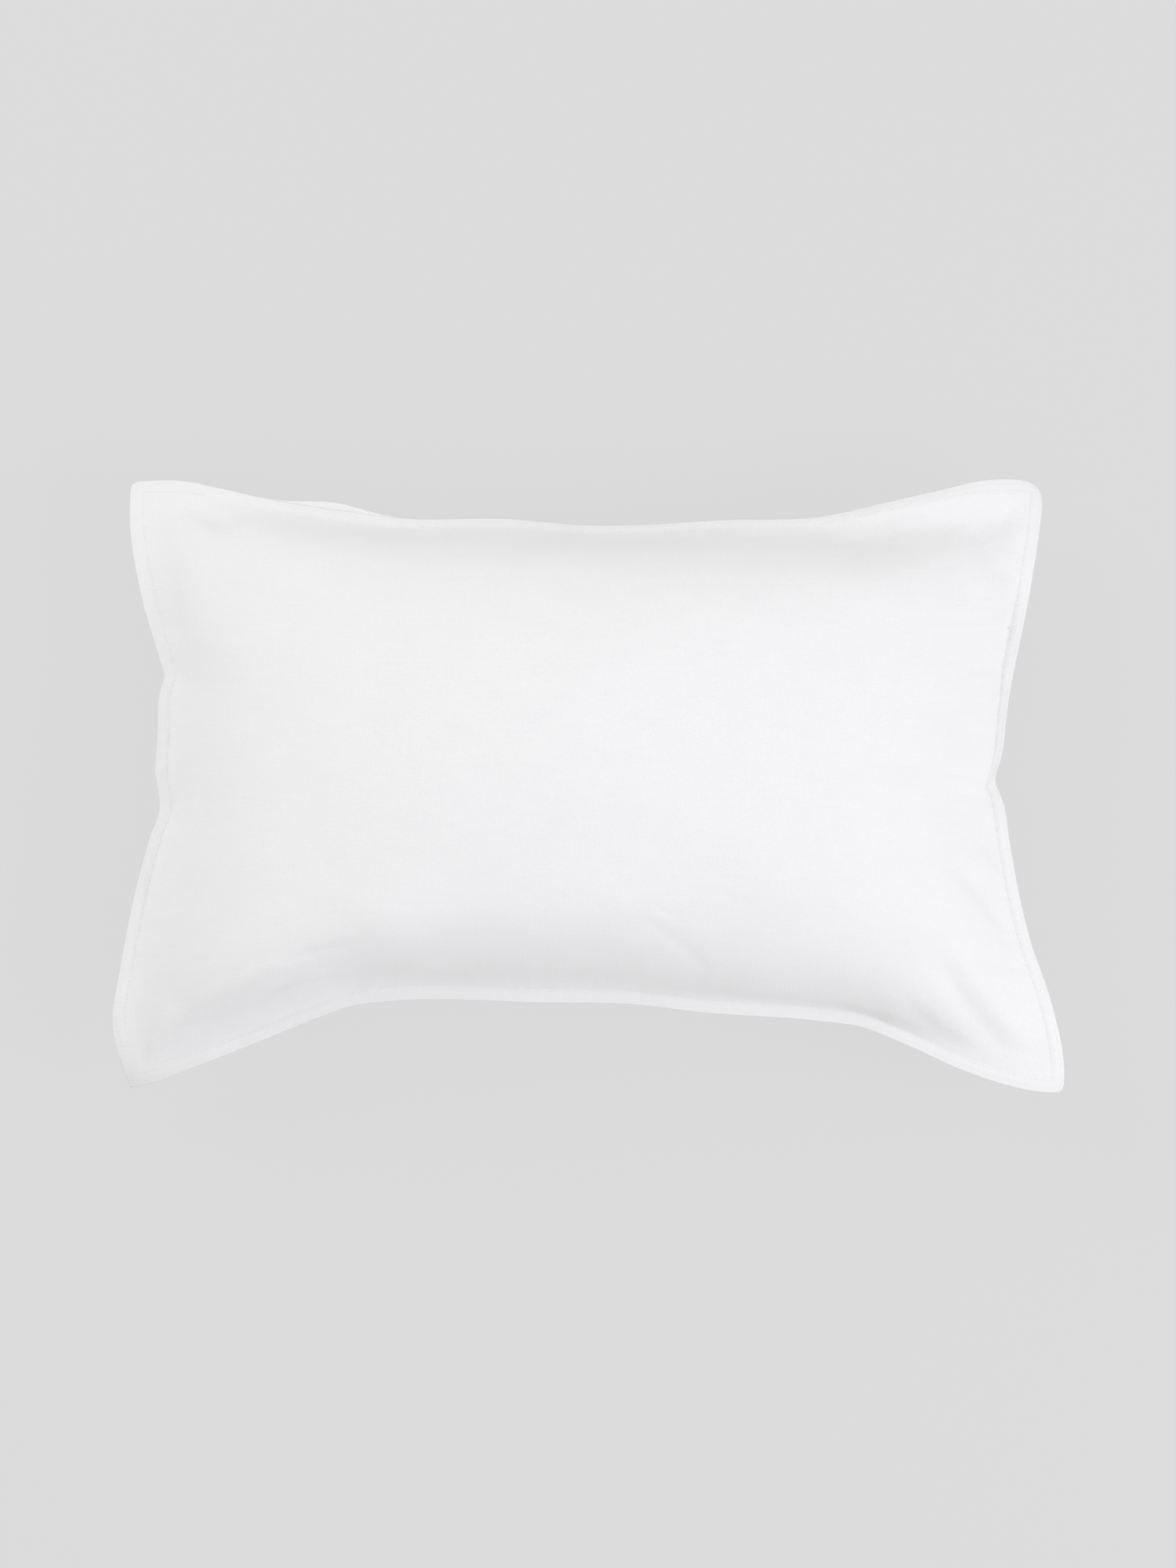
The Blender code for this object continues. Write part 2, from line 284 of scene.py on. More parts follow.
@dataclass(frozen=True)
class Outline:
    """The outer edge of the filled case, which the filling draws in between its corners."""

    top: Edge = Edge((
        (-346, 229), (-306, 228.5), (-275, 222), (-238, 213.5), (-190, 205.5), (-140, 199), (-60, 198.5),
        (-5, 194), (36, 194), (97, 197.5), (179, 201), (220, 210.5), (261, 220), (302, 229.5),
        (322, 230.5), (346, 229),
    ))
    bottom: Edge = Edge((
        (-348, -231), (-330, -226.5), (-304, -216.5), (-240, -190.5), (-205, -176), (-175, -165.5),
        (-155, -163), (-29, -163.5), (30, -164.5), (88, -171), (170, -177), (205, -182), (232, -192.5),
        (282, -215), (311, -225), (335, -230.5), (357, -232),
    ))
    left: Edge = Edge((
        (-348, -231), (-358, -180), (-351, -140), (-335, -66), (-327, -38), (-321, -22), (-323.5, 10),
        (-322, 40), (-320.5, 68), (-317, 81), (-320.5, 93), (-334.5, 140), (-345, 198), (-346, 229),
    ))
    right: Edge = Edge((
        (357, -232), (357, -215), (344, -154), (332, -120), (323, -84), (316, -46), (309.5, -10),
        (304.5, 1.5), (309, 20), (314, 60), (331, 143), (342, 203), (346, 229),
    ))

    def at(self, p: Array, q: Array) -> Array:
        """Points on a sheet hung between the four edges.

        Args:
            p: Places along the pillow, from -1 to 1.
            q: Places across it, in an array of the same shape.

        Returns:
            The x and y of each point.
        """
        across = between(self.bottom.at(p), self.top.at(p), q[..., None])
        along = between(self.left.at(q), self.right.at(q), p[..., None])
        ends = np.array([-1.0, 1.0])
        near, far = self.bottom.at(ends), self.top.at(ends)
        near_side = between(near[0], near[1], p[..., None])
        far_side = between(far[0], far[1], p[..., None])
        return across + along - between(near_side, far_side, q[..., None])

    def half_length(self, q: Array) -> Array:
        """Half the length of the filled case at places across it."""
        return (self.right.at(q)[..., 0] - self.left.at(q)[..., 0]) / 2

    def half_width(self, p: Array) -> Array:
        """Half the width of the filled case at places along it."""
        return (self.top.at(p)[..., 1] - self.bottom.at(p)[..., 1]) / 2


@dataclass(frozen=True)
class FlangeSide:
    """How the flat border lies along one side of the filled case."""

    insets: tuple[tuple[float, float], ...]  # place along the side, and millimetres in to the seam
    slopes: tuple[tuple[float, float], ...]  # place along the side, and rise for each metre outwards
    softness: tuple[tuple[float, float], ...]  # place, and millimetres that the cloth takes to swell fully
    pucker: float  # how strongly the seam gathers there
    overhang: tuple[tuple[float, float], ...] = ((-1, 0), (1, 0))  # place, and how far the pocket rolls out

    def inset(self, place: Array) -> Array:
        """The distance from the outer edge in to the seam, seen from above, at places along the side."""
        return stepped(self.insets, place) * MM

    def slope(self, place: Array) -> Array:
        """The border's slope at places from -1 to 1 along its side."""
        return stepped(self.slopes, place)


@dataclass(frozen=True)
class Corner:
    """A turned corner of the border."""

    column: int  # 0 for the left edge, -1 for the right one
    row: int  # 0 for the bottom edge, -1 for the top one
    radius: float
    drop: float  # how far the corner hangs below the level of the seams

    def droop(self, far_p: Array, far_q: Array) -> Array:
        """How far the corner draws down the points at these places, from -1 to 1 edge to edge.

        Args:
            far_p: Places along the pillow.
            far_q: Places across it.

        Returns:
            The drop at each place.
        """
        along = far_p if self.column else -far_p
        across = far_q if self.row else -far_q
        return self.drop * (np.maximum(0, along) * np.maximum(0, across)) ** 4


@dataclass(frozen=True)
class Fold:
    """A soft ridge or valley in the cloth, from one place to another as seen from above."""

    start: tuple[float, float]  # in millimetres
    end: tuple[float, float]
    height: float  # below 0 for a valley
    width: float
    bow: float = 0.0  # how far its middle stands off the straight line

    def rise(self, spots: Array) -> Array:
        """The fold's height at points given by their x and y.

        Args:
            spots: The points' x and y.

        Returns:
            The rise at each point, below 0 in a valley.
        """
        start, end = np.array(self.start) * MM, np.array(self.end) * MM
        length = np.linalg.norm(end - start)
        forward = (end - start) / length
        sideways = np.array([-forward[1], forward[0]])
        t = ((spots - start) @ forward) / length
        middle = self.bow * MM * 4 * t * (1 - t)
        off = (spots - start) @ sideways - middle
        ends = np.clip(t / 0.3, 0, 1) * np.clip((1 - t) / 0.3, 0, 1)
        fade = ends * ends * (3 - 2 * ends)
        return self.height * MM * fade * bell(off, self.width * MM)


# ---------------------------------------------------------------- the cut of the case


@dataclass
class Cut:
    """The pillowcase's cloth, laid flat, and the lines that its grid follows."""

    length: float = 0.750
    width: float = 0.500
    flange: float = 0.011
    cloth: float = 0.0006
    stitch: float = 0.0018  # the topstitch, outside the seam
    seam_tuck: tuple[float, ...] = (0.0012, 0.0026)  # extra lines inside the seam
    border: tuple[float, ...] = (0.0018, 0.0042, 0.0068, 0.0086, 0.0096, 0.0105, 0.0110)
    columns_inside: int = 238
    rows_inside: int = 156
    hem_from_middle: float = 0.1844  # the back panel's hem
    flap_from_middle: float = 0.0291  # the flap's hidden hem
    tucked_half_width: float = 0.229  # the flap's half width where it is tucked in
    hem_width: float = 0.024

    @property
    def seam_x(self) -> float:
        """The seam's distance from the middle, along the flat case."""
        return self.length / 2 - self.flange

    @property
    def seam_y(self) -> float:
        """The seam's distance from the middle, across the flat case."""
        return self.width / 2 - self.flange

    def lines(self, seam: float, count: int, extra: Sequence[float] = ()) -> Array:
        """Lines from one outer edge of the flat case to the other.

        Args:
            seam: The seam's distance from the middle.
            count: How many spaces lie between the two seams.
            extra: Lines to add, each of which takes the place of the line nearest to it.

        Returns:
            The lines' distances from the middle, rising.
        """
        spaced = np.linspace(-seam, seam, count + 1)
        for line in extra:
            spaced[np.abs(spaced - line).argmin()] = line
        tucks = np.array(self.seam_tuck)
        border = seam + np.array(self.border)
        outer = np.concatenate([seam - tucks, border])
        inner = spaced[(np.abs(spaced) < seam - 1.3 * tucks[-1]) | (np.abs(spaced) > seam - 1e-9)]
        return np.unique(np.round(np.concatenate([-outer, inner, outer]), 7))

    def columns(self) -> Array:
        """The lines that cross the case, with the two hems of its back among them."""
        hems = (self.hem_from_middle, self.hem_from_middle - self.hem_width, self.flap_from_middle)
        return self.lines(self.seam_x, self.columns_inside, hems)

    def rows(self) -> Array:
        """The lines that run along the case."""
        return self.lines(self.seam_y, self.rows_inside, (-self.tucked_half_width, self.tucked_half_width))


# ---------------------------------------------------------------- the filled shape


@dataclass
class Swell:
    """The pocket of the case, swelled by its filling: a cloth simulation held along the side seams."""

    outline: Outline
    cut: Cut
    sides: dict[Side, FlangeSide]
    corners: tuple[Corner, ...]
    cells_along: int = 104
    cells_across: int = 68
    seam_height: float = 0.090
    start_crown: float = 0.100
    roundness: float = 0.50  # 0.5 is an ellipse, and less is a fuller edge
    pull: float = 0.955  # the stretched cloth's own size, as a share of the flat cut
    pressure: float = 4.0
    frames: int = 20
    evening: int = 900
    creep: int = 3  # how often the settled cloth is evened out
    base: float = 0.0011  # the lowest level of the back's outer face, above the surface
    base_softness: float = 0.0022
    press: float = 0.010  # how far its weight flattens the back
    ease_start: float = 0.005  # lets the cloth leave the seams a little swelled

    def lay(self, p: Array, q: Array, over_x: Array = 0.0, over_y: Array = 0.0) -> Array:
        """Points at the level of the side seams.

        Args:
            p: Places along the pocket, from -1 at its left seam to 1 at its right one.
            q: Places across it.
            over_x: How far out over the border, from -1 at the left edge to 1 at the right one.
            over_y: The same across the pillow.

        Returns:
            The points, on the sheet that hangs between the side seams, with the border level.
        """
        half_length = self.outline.half_length(q)
        half_width = self.outline.half_width(p)
        left, right = (1 - self.sides[side].inset(q) / half_length for side in (Side.LEFT, Side.RIGHT))
        bottom, top = (1 - self.sides[side].inset(p) / half_width for side in (Side.BOTTOM, Side.TOP))
        far_p = between(-left, right, p) + over_x * np.where(over_x > 0, 1 - right, 1 - left)
        far_q = between(-bottom, top, q) + over_y * np.where(over_y > 0, 1 - top, 1 - bottom)
        spots = self.outline.at(far_p, far_q)
        level = self.seam_height - sum(corner.droop(far_p, far_q) for corner in self.corners)
        return np.concatenate([spots, level[..., None]], axis=-1)

    def start_shape(self) -> tuple[Array, Array]:
        """The front and back grids that the simulation starts from.

        Returns:
            Both grids, which meet along their edges.
        """
        p, q = np.meshgrid(
            np.linspace(-1, 1, self.cells_along + 1),
            np.linspace(-1, 1, self.cells_across + 1),
        )
        level = even_out(self.lay(p, q), self.evening)
        crown = self.start_crown * ((1 - p**2) * (1 - q**2)).clip(0) ** self.roundness
        lift = np.zeros_like(level)
        lift[..., 2] = crown
        return level + lift, level - lift

    def blow_up(self, front: Array, back: Array) -> tuple[Array, Array]:
        """Runs the cloth simulation on a closed pocket whose side seams are held.

        Args:
            front: The front's grid of points.
            back: The back's, with the same points along the seams.

        Returns:
            The two grids as the pressure leaves them.
        """
        rows, columns = front.shape[:2]
        points, cells, upper, lower = closed_body(front, back)
        u, v = np.meshgrid(
            np.linspace(-self.cut.seam_x, self.cut.seam_x, columns),
            np.linspace(-self.cut.seam_y, self.cut.seam_y, rows),
        )
        flat = np.stack([u, v, 0 * u], axis=-1) * self.pull
        pocket = bpy.data.meshes.new("pocket")
        pocket.from_pydata(points.tolist(), [], cells.tolist())
        held = bpy.data.objects.new("pocket", pocket)
        bpy.context.scene.collection.objects.link(held)
        held.shape_key_add(name="Basis")
        rest = held.shape_key_add(name="flat")
        rest.data.foreach_set("co", closed_body(flat, flat)[0].ravel())
        rest.value = 0.0
        seam = held.vertex_groups.new(name="seam")
        seam.add(upper[upper == lower].tolist(), 1.0, "REPLACE")
        cloth = held.modifiers.new("swell", "CLOTH")
        self.set_cloth(cloth, rest)
        for step in range(1, self.frames + 1):
            bpy.context.scene.frame_set(step)
        swelled = held.evaluated_get(bpy.context.evaluated_depsgraph_get())
        settled = np.empty(len(points) * 3)
        swelled.data.vertices.foreach_get("co", settled)
        settled = settled.reshape(-1, 3)
        bpy.data.objects.remove(held)
        bpy.data.meshes.remove(pocket)
        bpy.context.scene.frame_set(1)
        return settled[upper], settled[lower]

    def set_cloth(self, cloth: bpy.types.ClothModifier, rest: bpy.types.ShapeKey) -> None:
        """Gives the simulation the stiffness of washed linen and the pressure of the filling.

        Args:
            cloth: The simulation.
            rest: The shape that the cloth has when nothing stretches it.
        """
        settings = cloth.settings
        settings.quality = 6
        settings.mass = 0.2
        settings.tension_stiffness = 20
        settings.compression_stiffness = 20
        settings.shear_stiffness = 8
        settings.bending_stiffness = 0.5
        settings.tension_damping = 5
        settings.compression_damping = 5
        settings.shear_damping = 5
        settings.air_damping = 2
        settings.vertex_group_mass = "seam"
        settings.pin_stiffness = 50
        settings.rest_shape_key = rest
        settings.use_pressure = True
        settings.uniform_pressure_force = self.pressure
        settings.effector_weights.gravity = 0
        cloth.collision_settings.use_collision = False
        cloth.point_cache.frame_end = self.frames + 1

    def ease(self, p: Array, q: Array) -> Array:
        """How far the cloth has swelled, near 0 at the seams, where it leaves them at a gentle slope.

        Args:
            p: Places along the pocket, from -1 to 1.
            q: Places across it.

        Returns:
            The share of its full swell at each place.
        """
        share = np.ones_like(p)
        for side, away, place in self.inwards(p, q):
            softness = stepped(self.sides[side].softness, place) * MM
            share *= 1 - np.exp(-(self.ease_start + away) / softness)
        return share

    def inwards(self, p: Array, q: Array) -> list[tuple[Side, Array, Array]]:
        """For each side, how far inside its seam each place is on the flat cloth, and where along it.

        Args:
            p: Places along the pocket, from -1 to 1.
            q: Places across it.

        Returns:
            A side, the distances inside its seam and the places along it, four times over.
        """
        seams = (self.cut.seam_x, self.cut.seam_y)
        places = (p, q)
        return [
            (side, (1 - side.sign * places[side.axis]) * seams[side.axis], places[1 - side.axis])
            for side in Side
        ]

    def grids(self, top: float) -> dict[Face, Array]:
        """The filled pocket's outer faces.

        Args:
            top: The height of the pillow's highest point.

        Returns:
            A grid for each face, evenly spaced from -1 to 1 each way on the flat cloth.
        """
        front, back = self.start_shape()
        front, back = self.blow_up(front, back)
        front, back = even_out(front, self.creep), even_out(back, self.creep)
        p, q = np.meshgrid(np.linspace(-1, 1, front.shape[1]), np.linspace(-1, 1, front.shape[0]))
        level = even_out(self.lay(p, q), self.evening)[..., 2]
        ease = self.ease(p, q)
        rise = (front[..., 2] - level) * ease
        front[..., 2] = level + rise * (top - self.seam_height) / rise.max()
        fall = (level - back[..., 2]) * ease
        back[..., 2] = level - fall * (self.seam_height + self.press) / fall.max()
        back[..., 2] = soft_floor(back[..., 2], self.base, self.base_softness)
        return {Face.FRONT: front, Face.BACK: back}


def even_out(grid: Array, times: int) -> Array:
    """Moves each inner point of a grid towards the middle of its neighbours, many times over.

    Args:
        grid: A grid of points, whose edges stay where they are.
        times: How many times.

    Returns:
        The evened grid.
    """
    evened = grid.copy()
    for _ in range(times):
        beside = evened[1:-1, :-2] + evened[1:-1, 2:]
        beyond = evened[:-2, 1:-1] + evened[2:, 1:-1]
        evened[1:-1, 1:-1] = (beside + beyond) / 4
    return evened


def cells_of(corners: Array) -> Array:
    """The four-cornered cells of a grid of vertex numbers."""
    cells = np.stack([corners[:-1, :-1], corners[:-1, 1:], corners[1:, 1:], corners[1:, :-1]], axis=-1)
    return cells.reshape(-1, 4)


def closed_body(front: Array, back: Array) -> tuple[Array, Array, Array, Array]:
    """Joins two grids that meet along their edges into one closed body.

    Args:
        front: The upper grid of points.
        back: The lower one, whose edge points are the front's.

    Returns:
        The body's points, its faces, and the vertex numbers of its upper and lower grid.
    """
    rows, columns = front.shape[:2]
    upper = np.arange(rows * columns).reshape(rows, columns)
    inside = inner_points(front) > 0
    lower = upper.copy()
    lower[inside] = rows * columns + np.arange(inside.sum())
    points = np.concatenate([front.reshape(-1, 3), back[inside]])
    cells = np.concatenate([cells_of(upper), cells_of(lower)[:, ::-1]])
    return points, cells, upper, lower


def inner_points(grid: Array) -> Array:
    """1 at the inner points of a grid, and 0 along its edges.

    Args:
        grid: A grid of points, by row and column.

    Returns:
        A number for each point.
    """
    inner = np.zeros(grid.shape[:2])
    inner[1:-1, 1:-1] = 1.0
    return inner


# ---------------------------------------------------------------- meshes and the pieces they make


def grid_mesh(
    name: str,
    points: Array,
    face: Face,
    maps: dict[str, Array],
    kept: Array | None = None,
) -> bpy.types.Mesh:
    """Makes a mesh from a grid of points.

    Args:
        name: The mesh's name.
        points: The grid, by row and column.
        face: The face of the pillow that its own faces look to.
        maps: A number or a vector at each point, by the name of its attribute.
        kept: Which cells are made, by row and column, or all of them.

    Returns:
        The mesh, shaded smooth.
    """
    numbers = np.arange(points.shape[0] * points.shape[1]).reshape(points.shape[:2])
    cells = cells_of(numbers)
    if kept is not None:
        cells = cells[kept.ravel()]
    used, cells = np.unique(cells, return_inverse=True)
    cells = cells.reshape(-1, 4)
    if face is Face.BACK:
        cells = cells[:, ::-1]
    worn = {key: values.reshape(numbers.size, -1)[used] for key, values in maps.items()}
    return plain_mesh(name, points.reshape(-1, 3)[used], cells.tolist(), worn)


def plain_mesh(name: str, points: Array, cells: Sequence, maps: dict[str, Array]) -> bpy.types.Mesh:
    """Makes a smooth mesh with its attributes.

    Args:
        name: The mesh's name.
        points: A row for each vertex.
        cells: The vertex numbers of each face.
        maps: A number or a vector for each vertex, by the name of its attribute.

    Returns:
        The mesh.
    """
    mesh = bpy.data.meshes.new(name)
    mesh.from_pydata(points.tolist(), [], cells)
    for key, values in maps.items():
        vector = values.shape[-1] == 3
        layer = mesh.attributes.new(key, "FLOAT_VECTOR" if vector else "FLOAT", "POINT")
        layer.data.foreach_set("vector" if vector else "value", values.astype(np.float32).ravel())
    mesh.shade_smooth()
    return mesh


def dress(
    name: str,
    mesh: bpy.types.Mesh,
    finish: bpy.types.Material,
    slot: Slot,
    *nodes: str,
) -> bpy.types.Object:
    """Puts a mesh in the scene as a piece of the pillow.

    Args:
        name: The piece's name.
        mesh: Its mesh.
        finish: Its material.
        slot: The record's slot that its finish stands for.
        *nodes: The CAD nodes that it stands for.

    Returns:
        The piece.
    """
    mesh.materials.append(finish)
    piece = bpy.data.objects.new(name, mesh)
    bpy.context.scene.collection.objects.link(piece)
    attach(piece, BODY)
    if nodes:
        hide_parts(*nodes)
    log.info("%s: %d points, %s", name, len(mesh.vertices), slot.value)
    return piece


def thicken(piece: bpy.types.Object, thickness: float) -> None:
    """Gives a sheet its thickness, on its inner side.

    Args:
        piece: The sheet.
        thickness: How thick it becomes.
    """
    solid = piece.modifiers.new("thickness", "SOLIDIFY")
    solid.thickness = thickness
    solid.offset = -1.0


@dataclass(frozen=True)
class Stitches:
    """A row of machine stitches: short arches of thread whose ends sink into the cloth."""

    length: float = 0.0029
    gap: float = 0.0006
    radius: float = 0.00018
    rise: float = 1.5  # the arch's height, in radii of the thread
    sink: float = 1.2  # how deep its ends lie, in radii
    bluntness: float = 0.6  # below 1, a flatter arch with steeper ends
    sides: int = 6
    stations: int = 6

    def mesh(self, name: str, route: Array, normals: Array) -> bpy.types.Mesh:
        """Sews a row of stitches.

        Args:
            name: The mesh's name.
            route: The points that the row follows.
            normals: The cloth's normal at each of them.

        Returns:
            The mesh of every stitch in the row.
        """
        travelled = np.concatenate([[0.0], np.cumsum(np.linalg.norm(np.diff(route, axis=0), axis=1))])
        count = int(travelled[-1] / (self.length + self.gap))
        pitch = travelled[-1] / count
        t = np.linspace(0, 1, self.stations)
        at = (np.arange(count)[:, None] + 0.5) * pitch + (t - 0.5) * self.length
        middle = np.stack([np.interp(at, travelled, route[:, k]) for k in range(3)], axis=-1)
        up = unit(np.stack([np.interp(at, travelled, normals[:, k]) for k in range(3)], axis=-1))
        forward = unit(np.gradient(middle, axis=1))
        aside = unit(np.cross(forward, up))
        arch = self.radius * (self.rise * np.sin(np.pi * t) ** self.bluntness - self.sink)
        middle = middle + up * arch[None, :, None]
        angles = np.linspace(0, 2 * np.pi, self.sides, endpoint=False)
        round_it = np.cos(angles)[:, None] * aside[:, :, None] + np.sin(angles)[:, None] * up[:, :, None]
        points = (middle[:, :, None] + self.radius * round_it).reshape(-1, 3)
        cells = self.cells(count)
        along = np.repeat(at.ravel(), self.sides)
        turn = np.tile(angles, count * self.stations)
        return plain_mesh(name, points, cells, {CLOTH_MAP: np.stack([along, turn, 0 * turn], axis=-1)})

    def cells(self, count: int) -> list[list[int]]:
        """The faces of that many stitches, with their closed ends.

        Args:
            count: How many stitches.

        Returns:
            The vertex numbers of each face.
        """
        ring = np.arange(self.sides)
        turned = (ring + 1) % self.sides
        one = []
        for station in range(self.stations - 1):
            start, end = station * self.sides, (station + 1) * self.sides
            one += np.stack([start + ring, start + turned, end + turned, end + ring], axis=-1).tolist()
        one.append(ring[::-1].tolist())
        one.append((ring + (self.stations - 1) * self.sides).tolist())
        size = self.sides * self.stations
        return [[corner + stitch * size for corner in cell] for stitch in range(count) for cell in one]


# ---------------------------------------------------------------- the case


@dataclass
class CaseFace:
    """One outer face of the case: its swelled pocket, its border, the tucks and folds in them, and the
    shade painted into its seams and creases.
    """

    face: Face
    swell: Swell
    cut: Cut
    pocket: Array
    folds: tuple[Fold, ...] = ()
    corners: tuple[Corner, ...] = ()
    layer: float = 0.0012  # from the middle of the border to its face
    puff: float = 0.0004  # the loose border between its two sewn lines
    groove: float = 0.00025  # how deep the topstitch sinks
    small_gather: float = 0.0006
    small_pitch: float = 0.0095
    large_gather: float = 0.0004
    large_pitch: float = 0.023
    lump: float = 0.0012
    crumple: float = 0.00012
    peek: float = 0.0055  # how far the back of the border shows beyond the front
    roll_start: float = 0.004  # how far from the seam the full pocket has rolled out
    roll_reach: float = 0.045  # how far from it the roll dies away
    corner_lines: int = 12  # lines inside the border that a corner's turn may reach
    puff_at: float = 0.0052  # places on the border, outwards from the seam
    edge_stitch_at: float = 0.0086
    edge_groove: float = 0.00028
    edge_round: float = 0.0005
    seam_relief: float = 0.012  # how far inside the seam the cloth's own thickness fades
    peek_at: float = -0.190  # where along the pillow the back of the border shows most
    peek_width: float = 0.030
    fold_margin: float = 0.016  # a valley this deep gets the full painted shade
    valley_depth: float = 0.012  # a valley this deep is fully shaded
    lump_margin: float = 0.03
    lump_size: float = 0.120
    small_lump_size: float = 0.050
    crumple_size: float = 0.016
    gather_seed: float = 20.0
    loose_size: float = 0.034
    broad_size: float = 0.070
    lean: float = 0.5  # how much the small gathers lean along the seam
    gather_in: float = 0.0075  # how fast they die away inside and outside the stitches
    gather_out: float = 0.0045
    large_depth: float = 0.011

    def __post_init__(self) -> None:
        """Lays the face out, and keeps its points, normals and maps."""
        self.columns = self.cut.columns()
        self.rows = self.cut.rows()
        self.u, self.v = np.meshgrid(self.columns, self.rows)
        self.p = np.clip(self.u / self.cut.seam_x, -1, 1)
        self.q = np.clip(self.v / self.cut.seam_y, -1, 1)
        self.over_x = np.round((self.u - self.p * self.cut.seam_x) / self.cut.flange, 5)
        self.over_y = np.round((self.v - self.q * self.cut.seam_y) / self.cut.flange, 5)
        self.out = np.maximum(np.abs(self.over_x), np.abs(self.over_y)) * self.cut.flange
        self.points = self.lay_out()
        for corner in self.corners:
            self.turn_corner(corner)
        self.painted_shade = np.zeros_like(self.u)
        self.press_in()
        self.normals = outward(self.points, self.face)

    @property
    def maps(self) -> dict[str, Array]:
        """The attributes that the cloth's finish reads: its place on the flat cloth, and its painted shade.
        """
        flat = np.stack([self.u, self.v, 0 * self.u], axis=-1)
        return {CLOTH_MAP: flat, PAINTED_SHADE_MAP: self.painted_shade}

    def lay_out(self) -> Array:
        """The pocket's points, and the border's on their slopes.

        Returns:
            The grid of points, before gathers and folds.
        """
        points = self.swell.lay(self.p, self.q, self.over_x, self.over_y)
        for side, over, place in self.side_places():
            points[..., 2] += over * self.cut.flange * self.swell.sides[side].slope(place)
        inner_columns = np.abs(self.columns) <= self.cut.seam_x + 1e-7
        inner_rows = np.abs(self.rows) <= self.cut.seam_y + 1e-7
        p = np.clip(self.columns[inner_columns] / self.cut.seam_x, -1, 1)
        q = np.clip(self.rows[inner_rows] / self.cut.seam_y, -1, 1)
        points[np.ix_(inner_rows, inner_columns)] = read_grid(self.pocket, p, q)
        points[..., 2] += self.face.value * self.section()
        if self.face is Face.BACK:
            self.show_behind(points)
        else:
            self.roll_over(points)
        return points

    def side_places(self) -> list[tuple[Side, Array, Array]]:
        """For each side, how far out over its border each point is, from 0 to 1, and where along it."""
        return [
            (Side.LEFT, np.maximum(0, -self.over_x), self.q),
            (Side.RIGHT, np.maximum(0, self.over_x), self.q),
            (Side.BOTTOM, np.maximum(0, -self.over_y), self.p),
            (Side.TOP, np.maximum(0, self.over_y), self.p),
        ]

    def from_seam(self) -> Array:
        """How far inside the nearest seam each point is on the flat cloth."""
        aside = np.minimum(self.cut.seam_x - np.abs(self.u), self.cut.seam_y - np.abs(self.v))
        return np.maximum(0, aside)

    def section(self) -> Array:
        """The height of the border's face over its middle: sewn lines with loose cloth between them.

        Returns:
            The height at each point.
        """
        out = self.out
        height = self.layer + self.puff * bell(out - self.puff_at, 0.0022)
        height = height - self.groove * self.firmness() * bell(out - self.cut.stitch, 0.0011)
        height = height - self.edge_groove * bell(out - self.edge_stitch_at, 0.0009)
        height = height - self.edge_round * bell(out - self.cut.flange, 0.0007)
        return height * np.where(out > 0, 1.0, bell(self.from_seam(), self.seam_relief))

    def roll_over(self, points: Array) -> None:
        """Lets the full pocket roll out over its seam.

        Args:
            points: The face's points, which are moved.
        """
        for side, inside, place in self.swell.inwards(self.p, self.q):
            shift = (1 - np.exp(-inside / self.roll_start)) * bell(inside, self.roll_reach)
            overhang = stepped(self.swell.sides[side].overhang, place) * MM
            points[..., side.axis] += side.sign * overhang * shift

    def show_behind(self, points: Array) -> None:
        """Lets the back of the border stand out beyond the front near one end of the far side.

        Args:
            points: The face's points, which are moved.
        """
        out = np.maximum(0, self.over_y)
        reach = self.peek * bell(points[..., 0] - self.peek_at, self.peek_width) * out
        points[..., 1] += reach
        points[..., 2] -= 0.5 * reach

    def turn_corner(self, corner: Corner) -> None:
        """Rounds one corner of the border, more on its outer lines.

        Args:
            corner: The corner to round.
        """
        rings = len(self.cut.border)
        count = rings + self.corner_lines
        step_x = 1 if corner.column == 0 else -1
        step_y = 1 if corner.row == 0 else -1
        for ring in range(rings):
            radius = corner.radius * (1 - ring / rings)
            row_at = (corner.row + step_y * ring) % self.u.shape[0]
            column_at = (corner.column + step_x * ring) % self.u.shape[1]
            along = self.points[row_at, column_at : column_at + step_x * count : step_x].copy()
            across = self.points[row_at : row_at + step_y * count : step_y, column_at].copy()
            first, first_far = self.leg(along, radius)
            second, second_far = self.leg(across, radius)
            tip = along[0].copy()
            for leg, target, far, other in (
                (along, first, first_far, second_far),
                (across, second, second_far, first_far),
            ):
                near = target < 1
                t = 0.5 * (1 - target[near])[:, None]
                leg[near] = self.bend(far, tip, other, t)
            self.points[row_at, column_at : column_at + step_x * count : step_x] = along
            self.points[row_at : row_at + step_y * count : step_y, column_at] = across

    @staticmethod
    def leg(points: Array, radius: float) -> tuple[Array, Array]:
        """How far along each point is, as a share of the radius, and the point a radius along.

        Args:
            points: The points from the corner's tip along one leg.
            radius: The corner's radius.

        Returns:
            The share at each point, and the point where the turn ends.
        """
        steps = np.linalg.norm(np.diff(points, axis=0), axis=1)
        travelled = np.concatenate([[0.0], np.cumsum(steps)])
        far = np.array([np.interp(radius, travelled, points[:, k]) for k in range(3)])
        return travelled / radius, far

    @staticmethod
    def bend(far: Array, tip: Array, other: Array, t: Array) -> Array:
        """A curve that turns a corner from one leg to the other."""
        return (1 - t) ** 2 * far + 2 * t * (1 - t) * tip + t**2 * other

